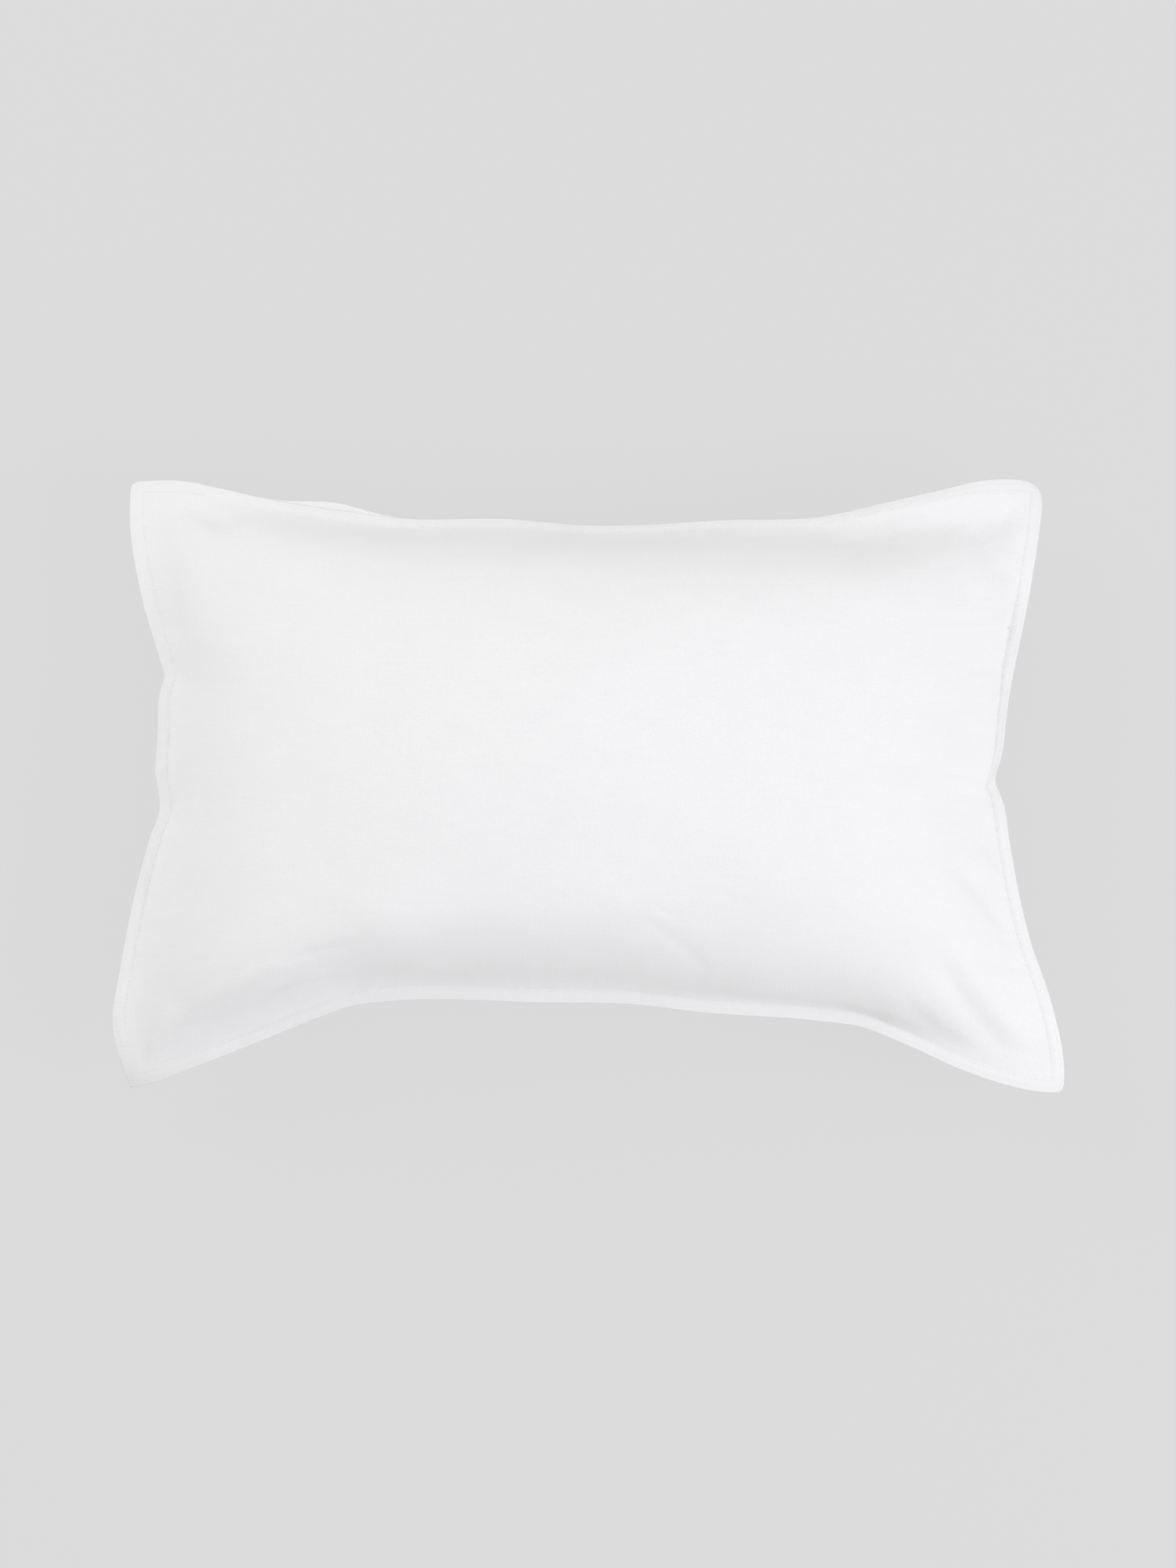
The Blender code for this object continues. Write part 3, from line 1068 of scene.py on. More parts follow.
    def press_in(self) -> None:
        """Moves the cloth along its normals, for gathers, folds, lumps and creases, and paints shade into
        the valleys and along the stitches.
        """
        flat = np.stack([self.u, self.v], axis=-1)
        inside = np.clip(self.from_seam() / self.lump_margin, 0, 1)
        rise = self.gathers()
        rise += self.lump * inside * wander(flat, self.lump_size, 3.1 + self.face.value)
        rise += 0.4 * self.lump * inside * wander(flat, self.small_lump_size, 7.7 + self.face.value)
        rise += self.crumple * wander(flat * [1.0, 1.6], self.crumple_size, 11.3 + self.face.value)
        for fold in self.folds:
            depth = fold.rise(self.points[..., :2]) * np.clip(self.from_seam() / self.fold_margin, 0, 1)
            rise += depth
            # painted shade: the deeper a valley, the greyer its cloth
            self.painted_shade += np.clip(-depth / self.valley_depth, 0, 1)
        firm = self.firmness()
        # painted shade along the topstitch and the edge stitch, where the seam's groove lies
        self.painted_shade += 0.9 * firm * bell(self.out - self.cut.stitch, 0.0012) * (self.out > 0)
        self.painted_shade += 0.35 * firm * bell(self.out - self.edge_stitch_at, 0.0008)
        self.points = self.points + outward(self.points, self.face) * rise[..., None]
        self.points[..., 2] = np.maximum(self.points[..., 2], self.swell.base * 0.9)

    def firmness(self) -> Array:
        """How firmly the border is sewn at each of its points, and 0 inside it.

        Returns:
            A number from 0 to 1 at each point.
        """
        firm = np.zeros_like(self.u)
        for side, over, _ in self.side_places():
            firm = np.maximum(firm, self.swell.sides[side].pucker * (over > 0))
        return firm

    def gathers(self) -> Array:
        """The small tucks along the topstitch, with shade painted into their hollows, and the longer ones
        that run from it into the pocket.

        Returns:
            How far they lift the cloth at each point.
        """
        rise = np.zeros_like(self.u)
        spots = (self.u, self.v)
        seams = (self.cut.seam_x, self.cut.seam_y)
        for number, side in enumerate(Side):
            across, along = spots[side.axis], spots[1 - side.axis]
            off = side.sign * across - seams[side.axis] - self.cut.stitch
            place = along / seams[1 - side.axis]
            strength = self.swell.sides[side].pucker * np.clip(1 - np.abs(place) ** 10, 0, 1)
            seed = self.gather_seed + 3 * number
            lead = along[:1] if side.axis else along[:, :1]
            line = np.stack([lead, 0 * lead], axis=-1)
            loose = wander(line, self.loose_size, seed)
            broad = wander(line, self.broad_size, seed + 1)
            leaning = along + self.lean * np.clip(off, -0.03, 0.02)
            small = np.cos(2 * np.pi * leaning / self.small_pitch + 2.6 * loose) * (0.65 + 0.6 * broad)
            large = np.cos(2 * np.pi * along / self.large_pitch + 3.4 * broad) * (0.6 + 0.9 * loose)
            close = np.where(off < 0, np.exp(off / self.gather_in), np.exp(-off / self.gather_out))
            depth = np.maximum(0, -off) / self.large_depth
            far = depth * np.exp(1 - depth)
            rise += strength * (self.small_gather * small * close + self.large_gather * large * far)
            # painted shade in the hollows of the small gathers
            self.painted_shade += strength**2 * np.clip(-1.4 * small - 0.3, 0, 1) * bell(off - 0.001, 0.004)
        return rise

    def stitched_loop(self) -> tuple[Array, Array]:
        """The topstitch's route all the way round, and the cloth's normals along it.

        Returns:
            The route's points, and a normal for each.
        """
        ring = len(self.cut.border) - 1
        rows, columns = self.u.shape
        low, right, top = ring, columns - 1 - ring, rows - 1 - ring
        route = [(low, c) for c in range(low, right)]
        route += [(r, right) for r in range(low, top)]
        route += [(top, c) for c in range(right, low, -1)]
        route += [(r, low) for r in range(top, low - 1, -1)]
        at = np.array(route)
        return self.points[at[:, 0], at[:, 1]], self.normals[at[:, 0], at[:, 1]]

    def column_at(self, place: float) -> int:
        """The number of the column nearest to a place on the flat cloth."""
        return int(np.abs(self.columns - place).argmin())


@dataclass
class Pillowcase:
    """The sewn case: a front panel, a back panel with a hem, and the flap that closes it."""

    cut: Cut
    front: CaseFace
    back: CaseFace
    linen: bpy.types.Material
    thread: bpy.types.Material
    stitches: Stitches = Stitches()
    tuck_gap: float = 0.0011  # from the back panel's outer face in to the flap's
    tuck_ramp: float = 0.006  # how far from the hem the flap comes out to its own level
    hem_step: float = 0.0005  # how far the hem's extra layers stand out
    hem_ramp: float = 0.003
    hem_margin: float = 0.004  # the extra layers flatten this near to the seam
    hem_groove: float = 0.0004  # how deep the hem's stitches sink
    hem_groove_width: float = 0.0022
    lowest: float = 0.0004

    def build(self) -> list[bpy.types.Object]:
        """Makes every piece of the case.

        Returns:
            Its panels and its rows of stitches.
        """
        return [self.front_panel(), self.back_panel(), self.flap(), *self.topstitch(), self.hem_stitches()]

    def front_panel(self) -> bpy.types.Object:
        """The front, with the front layer of the border.

        Returns:
            The piece.
        """
        mesh = grid_mesh("case_front", self.front.points, Face.FRONT, self.front.maps)
        piece = dress("case_front", mesh, self.linen, Slot.LINEN, "case_front_panel")
        thicken(piece, self.cut.cloth)
        return piece

    def hem_lift(self) -> Array:
        """The back panel's points, with the extra layers of its hem standing out.

        Returns:
            The grid of points.
        """
        from_edge = self.cut.hem_from_middle - self.back.u
        band = np.clip((self.cut.hem_width - from_edge) / self.hem_ramp + 0.5, 0, 1)
        inside = np.clip(self.back.from_seam() / self.hem_margin, 0, 1)
        lift = self.hem_step * band * inside
        stitched = self.hem_groove * bell(from_edge - self.cut.hem_width, self.hem_groove_width) * inside
        points = self.back.points + self.back.normals * (lift - stitched)[..., None]
        points[..., 2] = np.maximum(points[..., 2], self.lowest)
        return points

    def back_panel(self) -> bpy.types.Object:
        """The back from its closed end to its hem.

        Returns:
            The piece.
        """
        last = self.back.column_at(self.cut.hem_from_middle)
        points = self.hem_lift()[:, : last + 1]
        maps = {key: values[:, : last + 1] for key, values in self.back.maps.items()}
        mesh = grid_mesh("case_back", points, Face.BACK, maps)
        piece = dress("case_back", mesh, self.linen, Slot.LINEN, "case_back_panel")
        thicken(piece, self.cut.cloth)
        return piece

    def flap(self) -> bpy.types.Object:
        """The flap: its shown part, and the part tucked in behind the back panel's hem.

        Returns:
            The piece.
        """
        first = self.back.column_at(self.cut.flap_from_middle)
        hem = self.back.column_at(self.cut.hem_from_middle)
        covered = np.clip(1 - (self.back.u - self.cut.hem_from_middle) / self.tuck_ramp, 0, 1)
        tucked = covered * (np.abs(self.back.v) <= self.cut.tucked_half_width + 1e-6)
        points = self.back.points - self.back.normals * (self.tuck_gap * tucked)[..., None]
        middle_v = (self.back.v[:-1, :-1] + self.back.v[1:, 1:]) / 2
        beyond = np.arange(len(self.back.columns) - 1)[None, :] >= hem
        within = np.abs(middle_v) <= self.cut.tucked_half_width
        kept = (beyond | within)[:, first:]
        maps = {key: values[:, first:] for key, values in self.back.maps.items()}
        mesh = grid_mesh("case_flap", points[:, first:], Face.BACK, maps, kept)
        piece = dress("case_flap", mesh, self.linen, Slot.LINEN, "case_back_flap")
        thicken(piece, self.cut.cloth)
        return piece

    def topstitch(self) -> list[bpy.types.Object]:
        """The stitches round the border, on the front and on the back.

        Returns:
            The two rows of stitches.
        """
        pieces = []
        for side, name in ((self.front, "case_topstitch_front"), (self.back, "case_topstitch_back")):
            route, normals = side.stitched_loop()
            mesh = self.stitches.mesh(name + "_stitches", route, normals)
            pieces.append(dress(name + "_stitches", mesh, self.thread, Slot.THREAD, name))
        return pieces

    def hem_stitches(self) -> bpy.types.Object:
        """The stitches that hold the back panel's hem.

        Returns:
            The row of stitches.
        """
        column = self.back.column_at(self.cut.hem_from_middle - self.cut.hem_width)
        inside = np.abs(self.back.rows) <= self.cut.seam_y
        route = self.hem_lift()[inside, column]
        normals = self.back.normals[inside, column]
        mesh = self.stitches.mesh("case_hem_stitches", route, normals)
        return dress("case_hem_stitches", mesh, self.thread, Slot.THREAD)


# ---------------------------------------------------------------- the insert and the labels


@dataclass
class Insert:
    """The filled insert: two panels of ticking, the piping in their seam, and the fibre inside them."""

    pockets: dict[Face, Array]
    folds: dict[Face, tuple[Fold, ...]]
    seam_height: float
    cotton: bpy.types.Material
    cord: bpy.types.Material
    fibre: bpy.types.Material
    scale: tuple[float, float, float] = (0.950, 0.922, 0.978)
    fill_scale: tuple[float, float, float] = (0.938, 0.905, 0.966)
    thickness: float = 0.0004
    piping: float = 0.002
    piping_sides: int = 12
    lump: float = 0.0016
    lump_size: float = 0.022
    flat: tuple[float, float] = (0.700, 0.450)

    def build(self) -> list[bpy.types.Object]:
        """Makes the ticking, its piping and its fibre.

        Returns:
            The four pieces.
        """
        ticking = [
            self.panel(Face.FRONT, "ticking_front_cloth", "ticking_front"),
            self.panel(Face.BACK, "ticking_back_cloth", "ticking_back"),
        ]
        return [*ticking, self.cord_edge(), self.fill()]

    def shrunk(self, face: Face, scale: tuple[float, float, float]) -> Array:
        """A pocket drawn in towards the middle of the pillow, and pressed in where the case is.

        Args:
            face: Which pocket.
            scale: Its size along, across and upwards, as shares of the case's.

        Returns:
            The grid of points.
        """
        pocket = self.pockets[face]
        depth = np.minimum(0, sum(fold.rise(pocket[..., :2]) for fold in self.folds[face]))
        depth = depth * inner_points(pocket)
        middle = np.array([0.0, 0.0, self.seam_height])
        return middle + (pocket - middle) * np.array(scale) + outward(pocket, face) * depth[..., None]

    def panel(self, face: Face, name: str, node: str) -> bpy.types.Object:
        """One panel of the ticking.

        Args:
            face: The face that the panel makes.
            name: The piece's name.
            node: The CAD node that it stands for.

        Returns:
            The piece.
        """
        points = self.shrunk(face, self.scale)
        rows, columns = points.shape[:2]
        u, v = np.meshgrid(
            np.linspace(-self.flat[0] / 2, self.flat[0] / 2, columns),
            np.linspace(-self.flat[1] / 2, self.flat[1] / 2, rows),
        )
        maps = {CLOTH_MAP: np.stack([u, v, 0 * u], axis=-1)}
        piece = dress(name, grid_mesh(name, points, face, maps), self.cotton, Slot.TICKING, node)
        thicken(piece, self.thickness)
        return piece

    def cord_edge(self) -> bpy.types.Object:
        """The piping: a covered cord sewn between the two panels, all the way round.

        Returns:
            The piece.
        """
        grid = self.shrunk(Face.FRONT, self.scale)
        ring = np.concatenate([grid[0, :-1], grid[:-1, -1], grid[-1, :0:-1], grid[:0:-1, 0]])
        heading = unit(np.roll(ring, -1, axis=0) - np.roll(ring, 1, axis=0))
        up = np.array([0.0, 0.0, 1.0])
        aside = unit(np.cross(heading, up))
        ring = ring + aside * self.piping
        angles = np.linspace(0, 2 * np.pi, self.piping_sides, endpoint=False)
        round_it = np.cos(angles)[:, None] * aside[:, None] + np.sin(angles)[:, None] * up
        points = ring[:, None] + self.piping * round_it
        numbers = np.arange(points.shape[0] * self.piping_sides).reshape(points.shape[:2])
        closed = np.pad(numbers, ((0, 1), (0, 1)), mode="wrap")
        steps = np.linalg.norm(ring - np.roll(ring, 1, axis=0), axis=1)
        along = np.repeat(np.cumsum(steps), self.piping_sides)
        turn = np.tile(angles, len(ring)) * self.piping
        maps = {CLOTH_MAP: np.stack([along, turn, 0 * turn], axis=-1)}
        cells = cells_of(closed)[:, ::-1].tolist()
        mesh = plain_mesh("ticking_piping_cord", points.reshape(-1, 3), cells, maps)
        return dress("ticking_piping_cord", mesh, self.cord, Slot.PIPING, "ticking_piping")

    def fill(self) -> bpy.types.Object:
        """The fibre: one closed, lumpy body.

        Returns:
            The piece.
        """
        front = self.shrunk(Face.FRONT, self.fill_scale)
        back = self.shrunk(Face.BACK, self.fill_scale)
        for grid, face in ((front, Face.FRONT), (back, Face.BACK)):
            lumps = 0.5 + 0.5 * wander(grid, self.lump_size, 0.0)
            grid -= outward(grid, face) * (self.lump * lumps * inner_points(grid))[..., None]
        points, cells, _, _ = closed_body(front, back)
        mesh = plain_mesh("fibre_fill", points, cells.tolist(), {CLOTH_MAP: points})
        piece = dress("fibre_fill", mesh, self.fibre, Slot.FIBRE, "fill")
        return piece


@dataclass
class Label:
    """A blank woven label: a short ribbon folded in half, held in a seam by its two ends."""

    name: str
    node: str
    heading: Array  # along the seam
    inward: Array  # from the seam to the label's fold
    satin: bpy.types.Material
    width: float = 0.040
    reach: float = 0.0078
    half_gap: float = 0.00032
    thickness: float = 0.00022
    columns: int = 24
    run_points: int = 7
    curl: float = 0.0003  # how far its middle stands above its sides

    def build(self) -> bpy.types.Object:
        """Makes the label in the middle of its CAD node's box.

        Returns:
            The piece.
        """
        low, high = (np.array(corner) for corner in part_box(self.node))
        middle = (low + high) / 2
        run = np.linspace(-0.5, 0.5, self.run_points) * (self.reach - 2 * self.half_gap)
        turn = np.linspace(np.pi / 2, -np.pi / 2, self.run_points)[1:-1]
        across = np.concatenate([run, run[-1] + self.half_gap * np.cos(turn), run[::-1]])
        level = np.full(len(run), self.half_gap)
        height = np.concatenate([level, self.half_gap * np.sin(turn), -level])
        along = np.linspace(-self.width / 2, self.width / 2, self.columns)
        curl = self.curl * np.cos(np.pi * along / self.width)
        reach = across[None, :, None] * self.inward
        points = middle + along[:, None, None] * self.heading + reach
        points = points + np.array([0, 0, 1.0]) * (height[None, :] + curl[:, None])[..., None]
        travelled = np.concatenate([[0.0], np.cumsum(np.hypot(np.diff(across), np.diff(height)))])
        u, v = np.meshgrid(travelled, along)
        face = Face.FRONT if np.cross(self.inward, self.heading)[2] > 0 else Face.BACK
        mesh = grid_mesh(self.name, points, face, {CLOTH_MAP: np.stack([u, v, 0 * u], axis=-1)})
        piece = dress(self.name, mesh, self.satin, Slot.SATIN, self.node)
        thicken(piece, self.thickness)
        return piece


# ---------------------------------------------------------------- shader nodes


class Signal:
    """A socket that carries a number, on which arithmetic adds Math nodes."""

    def __init__(self, graph: "Graph", socket: bpy.types.NodeSocket) -> None:
        """Keeps the socket and the material that it is in.

        Args:
            graph: The material under construction.
            socket: The output that carries the number.
        """
        self.graph = graph
        self.socket = socket

    def join(self, operation: str, first: "Signal | float", second: "Signal | float") -> "Signal":
        """The result of a Math node on two values."""
        return self.graph.add("ShaderNodeMath", {"operation": operation}, {0: first, 1: second})

    def __add__(self, other: "Signal | float") -> "Signal":
        """Adds."""
        return self.join("ADD", self, other)

    def __radd__(self, other: float) -> "Signal":
        """Adds, the number first."""
        return self.join("ADD", other, self)

    def __sub__(self, other: "Signal | float") -> "Signal":
        """Subtracts."""
        return self.join("SUBTRACT", self, other)

    def __rsub__(self, other: float) -> "Signal":
        """Subtracts from a number."""
        return self.join("SUBTRACT", other, self)

    def __mul__(self, other: "Signal | float") -> "Signal":
        """Multiplies."""
        return self.join("MULTIPLY", self, other)

    def __rmul__(self, other: float) -> "Signal":
        """Multiplies, the number first."""
        return self.join("MULTIPLY", other, self)

    def sine(self) -> "Signal":
        """The sine of an angle."""
        return self.join("SINE", self, 0.0)

    def above(self, other: "Signal | float") -> "Signal":
        """The larger of two values."""
        return self.join("MAXIMUM", self, other)

    def below(self, other: "Signal | float") -> "Signal":
        """The smaller of two values."""
        return self.join("MINIMUM", self, other)


class Graph:
    """A material under construction."""

    def __init__(self, name: str) -> None:
        """Starts a material with one Principled shader."""
        self.material = bpy.data.materials.new(name)
        self.material.use_nodes = True
        self.tree = self.material.node_tree
        self.shader = self.tree.nodes["Principled BSDF"]

    def node(self, kind: str, settings: dict[str, object], inputs: dict[object, object]) -> bpy.types.Node:
        """Adds a node.

        Args:
            kind: Its type.
            settings: Its own settings, which are set first.
            inputs: A value or a link for each socket, by name or number.

        Returns:
            The node.
        """
        made = self.tree.nodes.new(kind)
        for key, value in settings.items():
            setattr(made, key, value)
        self.feed(made, inputs)
        return made

    def feed(self, node: bpy.types.Node, inputs: dict[object, object]) -> None:
        """Sets or links a node's sockets."""
        for key, value in inputs.items():
            if isinstance(value, Signal):
                self.tree.links.new(value.socket, node.inputs[key])
            else:
                node.inputs[key].default_value = value

    def add(
        self,
        kind: str,
        settings: dict[str, object],
        inputs: dict[object, object],
        out: int | str = 0,
    ) -> Signal:
        """Adds a node, as node() does.

        Args:
            kind: Its type.
            settings: Its own settings, which are set first.
            inputs: A value or a link for each socket, by name or number.
            out: The name or number of the output to return.

        Returns:
            That output.
        """
        return Signal(self, self.node(kind, settings, inputs).outputs[out])

    def cloth_place(self) -> tuple[Signal, Signal, Signal]:
        """A point's place on the flat cloth, as a vector and as its two numbers.

        Returns:
            The vector, the distance along and the distance across.
        """
        place = self.add("ShaderNodeAttribute", {"attribute_name": CLOTH_MAP}, {}, "Vector")
        parts = self.node("ShaderNodeSeparateXYZ", {}, {"Vector": place})
        return place, Signal(self, parts.outputs["X"]), Signal(self, parts.outputs["Y"])

    def painted_seam_shade(self) -> Signal:
        """The shade painted on a point in a seam, crease or gather, from 0 to 1."""
        return self.add("ShaderNodeAttribute", {"attribute_name": PAINTED_SHADE_MAP}, {}, "Fac").below(1.0)

    def streaks(self, place: Signal, stretch: tuple[float, float, float], detail: float = 2.0) -> Signal:
        """Noise from 0 to 1, stretched each way by its own scale."""
        scaled = self.add("ShaderNodeVectorMath", {"operation": "MULTIPLY"}, {0: place, 1: stretch})
        return self.add("ShaderNodeTexNoise", {}, {"Vector": scaled, "Scale": 1.0, "Detail": detail}, "Fac")

    def tint(self, share: Signal, start: Signal | Sequence[float], end: Sequence[float]) -> Signal:
        """Mixes two colours.

        Args:
            share: How much of the second one, from 0 to 1.
            start: The first colour, as numbers or as other nodes make it.
            end: The second colour.

        Returns:
            The mixed colour.
        """
        settings = {"data_type": "RGBA", "blend_type": "MIX"}
        first = start if isinstance(start, Signal) else (*start, 1.0)
        return self.add("ShaderNodeMix", settings, {"Factor": share, 6: first, 7: (*end, 1.0)}, 2)

    def relief(self, height: Signal, distance: float) -> Signal:
        """A normal from a height."""
        return self.add("ShaderNodeBump", {}, {"Height": height, "Distance": distance, "Strength": 1.0})


@dataclass(frozen=True)
class Linen:
    """Washed white linen: a plain weave with uneven yarns, faintly cloudy, with shade painted greyer deep
    in its seams, creases and gathers.
    """

    name: str = "washed_linen"
    light: tuple[float, float, float] = (0.885, 0.885, 0.887)
    shade: tuple[float, float, float] = (0.838, 0.839, 0.843)
    painted_shade_colour: tuple[float, float, float] = (0.66, 0.66, 0.665)
    seam_shade: float = 0.15  # how much of the painted shade tone shows in a seam, crease or gather
    yarn: float = 0.00062
    yarn_relief: float = 0.00006
    slub_relief: float = 0.00012
    roughness: float = 0.86
    sheen: float = 0.12

    def make(self) -> bpy.types.Material:
        """Makes the material.

        Returns:
            The linen.
        """
        graph = Graph(self.name)
        place, u, v = graph.cloth_place()
        weft = graph.streaks(place, (34.0, 1050.0, 1.0), 3.0)
        thick_weft = graph.streaks(place, (22.0, 380.0, 1.0), 3.0)
        warp = graph.streaks(place, (900.0, 40.0, 1.0), 3.0)
        clouds = graph.streaks(place, (24.0, 34.0, 1.0), 2.0)
        turn = math.tau / (2 * self.yarn)
        over = (u * turn).sine() * (v * turn).sine()
        grain = graph.streaks(place, (780.0, 900.0, 1.0), 2.0)
        yarns = (weft - 0.5) * 0.6 + (thick_weft - 0.5) * 0.55 + (warp - 0.5) * 0.6
        slubs = yarns + (grain - 0.5) * 1.1
        painted_shade = graph.painted_seam_shade()
        tone = (slubs * 0.9 + (clouds - 0.5) * 0.6 + 0.5).above(0.0).below(1.0)
        cloth = graph.tint(tone, self.shade, self.light)
        # painted shade: seams, creases and gathers are greyed towards the painted shade tone
        colour = graph.tint(painted_shade * self.seam_shade, cloth, self.painted_shade_colour)
        height = over * 0.5 * (self.yarn_relief / self.slub_relief) + slubs
        normal = graph.relief(height, self.slub_relief)
        rough = self.roughness + (clouds - 0.5) * 0.10 + painted_shade * 0.06
        graph.feed(graph.shader, {"Base Color": colour, "Roughness": rough, "Normal": normal})
        graph.feed(graph.shader, {"Sheen Weight": self.sheen, "Sheen Roughness": 0.55})
        graph.feed(graph.shader, {"Specular IOR Level": 0.28})
        return graph.material


@dataclass(frozen=True)
class Thread:
    """Twisted cotton thread."""

    name: str = "cotton_thread"
    light: tuple[float, float, float] = (0.90, 0.90, 0.90)
    shade: tuple[float, float, float] = (0.82, 0.82, 0.825)
    twist: float = 0.0007

    def make(self) -> bpy.types.Material:
        """Makes the material.

        Returns:
            The thread.
        """
        graph = Graph(self.name)
        place, along, turn = graph.cloth_place()
        ply = (along * (math.tau / self.twist) + turn * 2.0).sine() * 0.5 + 0.5
        fuzz = graph.streaks(place, (900.0, 2.0, 1.0))
        colour = graph.tint((ply * 0.6 + fuzz * 0.4).below(1.0), self.shade, self.light)
        normal = graph.relief(ply, 0.00005)
        graph.feed(graph.shader, {"Base Color": colour, "Roughness": 0.62 + fuzz * 0.12, "Normal": normal})
        graph.feed(graph.shader, {"Sheen Weight": 0.1, "Specular IOR Level": 0.35})
        return graph.material


@dataclass(frozen=True)
class Ticking:
    """Close white cotton with a diagonal twill, which keeps the fibre in."""

    name: str
    light: tuple[float, float, float] = (0.86, 0.86, 0.84)
    shade: tuple[float, float, float] = (0.78, 0.78, 0.755)
    rib: float = 0.0008
    relief: float = 0.00008

    def make(self) -> bpy.types.Material:
        """Makes the material.

        Returns:
            The cotton.
        """
        graph = Graph(self.name)
        place, u, v = graph.cloth_place()
        twill = ((u + v) * (math.tau / self.rib)).sine() * 0.5 + 0.5
        yarn = graph.streaks(place, (900.0, 60.0, 60.0))
        clouds = graph.streaks(place, (18.0, 18.0, 18.0))
        tone = (twill * 0.35 + yarn * 0.35 + clouds * 0.3).below(1.0)
        colour = graph.tint(tone, self.shade, self.light)
        normal = graph.relief(twill * 0.7 + yarn * 0.3, self.relief)
        graph.feed(graph.shader, {"Base Color": colour, "Roughness": 0.78 + clouds * 0.1, "Normal": normal})
        graph.feed(graph.shader, {"Sheen Weight": 0.08, "Specular IOR Level": 0.3})
        return graph.material


@dataclass(frozen=True)
class Satin:
    """A smooth woven ribbon with fine cross ribs."""

    name: str = "label_ribbon"
    light: tuple[float, float, float] = (0.88, 0.88, 0.87)
    shade: tuple[float, float, float] = (0.80, 0.80, 0.79)
    rib: float = 0.0004

    def make(self) -> bpy.types.Material:
        """Makes the material.

        Returns:
            The satin.
        """
        graph = Graph(self.name)
        place, u, _ = graph.cloth_place()
        ribs = (u * (math.tau / self.rib)).sine() * 0.5 + 0.5
        grain = graph.streaks(place, (80.0, 1600.0, 1.0))
        colour = graph.tint((ribs * 0.4 + grain * 0.6).below(1.0), self.shade, self.light)
        normal = graph.relief(ribs * 0.5 + grain * 0.5, 0.00003)
        graph.feed(graph.shader, {"Base Color": colour, "Roughness": 0.34 + grain * 0.14, "Normal": normal})
        graph.feed(graph.shader, {"Sheen Weight": 0.05, "Specular IOR Level": 0.5})
        return graph.material


@dataclass(frozen=True)
class Fibre:
    """Loose white fibre: soft clumps with fine strands across them."""

    name: str = "loose_fibre"
    light: tuple[float, float, float] = (0.90, 0.90, 0.88)
    shade: tuple[float, float, float] = (0.70, 0.70, 0.68)

    def make(self) -> bpy.types.Material:
        """Makes the material.

        Returns:
            The fibre.
        """
        graph = Graph(self.name)
        place, _, _ = graph.cloth_place()
        clumps = graph.streaks(place, (45.0, 45.0, 45.0), 4.0)
        strands = graph.streaks(place, (160.0, 1400.0, 700.0), 3.0)
        colour = graph.tint((clumps * 0.6 + strands * 0.5 - 0.05).below(1.0), self.shade, self.light)
        normal = graph.relief(clumps * 0.7 + strands * 0.3, 0.0015)
        rough = 0.88 + strands * 0.1
        graph.feed(graph.shader, {"Base Color": colour, "Roughness": rough, "Normal": normal})
        graph.feed(graph.shader, {"Sheen Weight": 0.3, "Sheen Roughness": 0.6, "Specular IOR Level": 0.2})
        return graph.material


# ---------------------------------------------------------------- floor, light and camera


@dataclass
class Softbox:
    """A large soft lamp that looks at the pillow."""

    name: str
    place: tuple[float, float, float]
    size: float
    power: float
    colour: tuple[float, float, float] = (1.0, 1.0, 1.0)

    def hang(self, target: Vector) -> None:
        """Hangs the lamp, turned to a point.

        Args:
            target: The point that it looks at.
        """
        data = bpy.data.lights.new(self.name, "AREA")
        data.shape = "SQUARE"
        data.size = self.size
        data.energy = self.power
        data.color = self.colour
        lamp = bpy.data.objects.new(self.name, data)
        lamp.location = self.place
        lamp.rotation_euler = (target - lamp.location).to_track_quat("-Z", "Y").to_euler()
        bpy.context.scene.collection.objects.link(lamp)


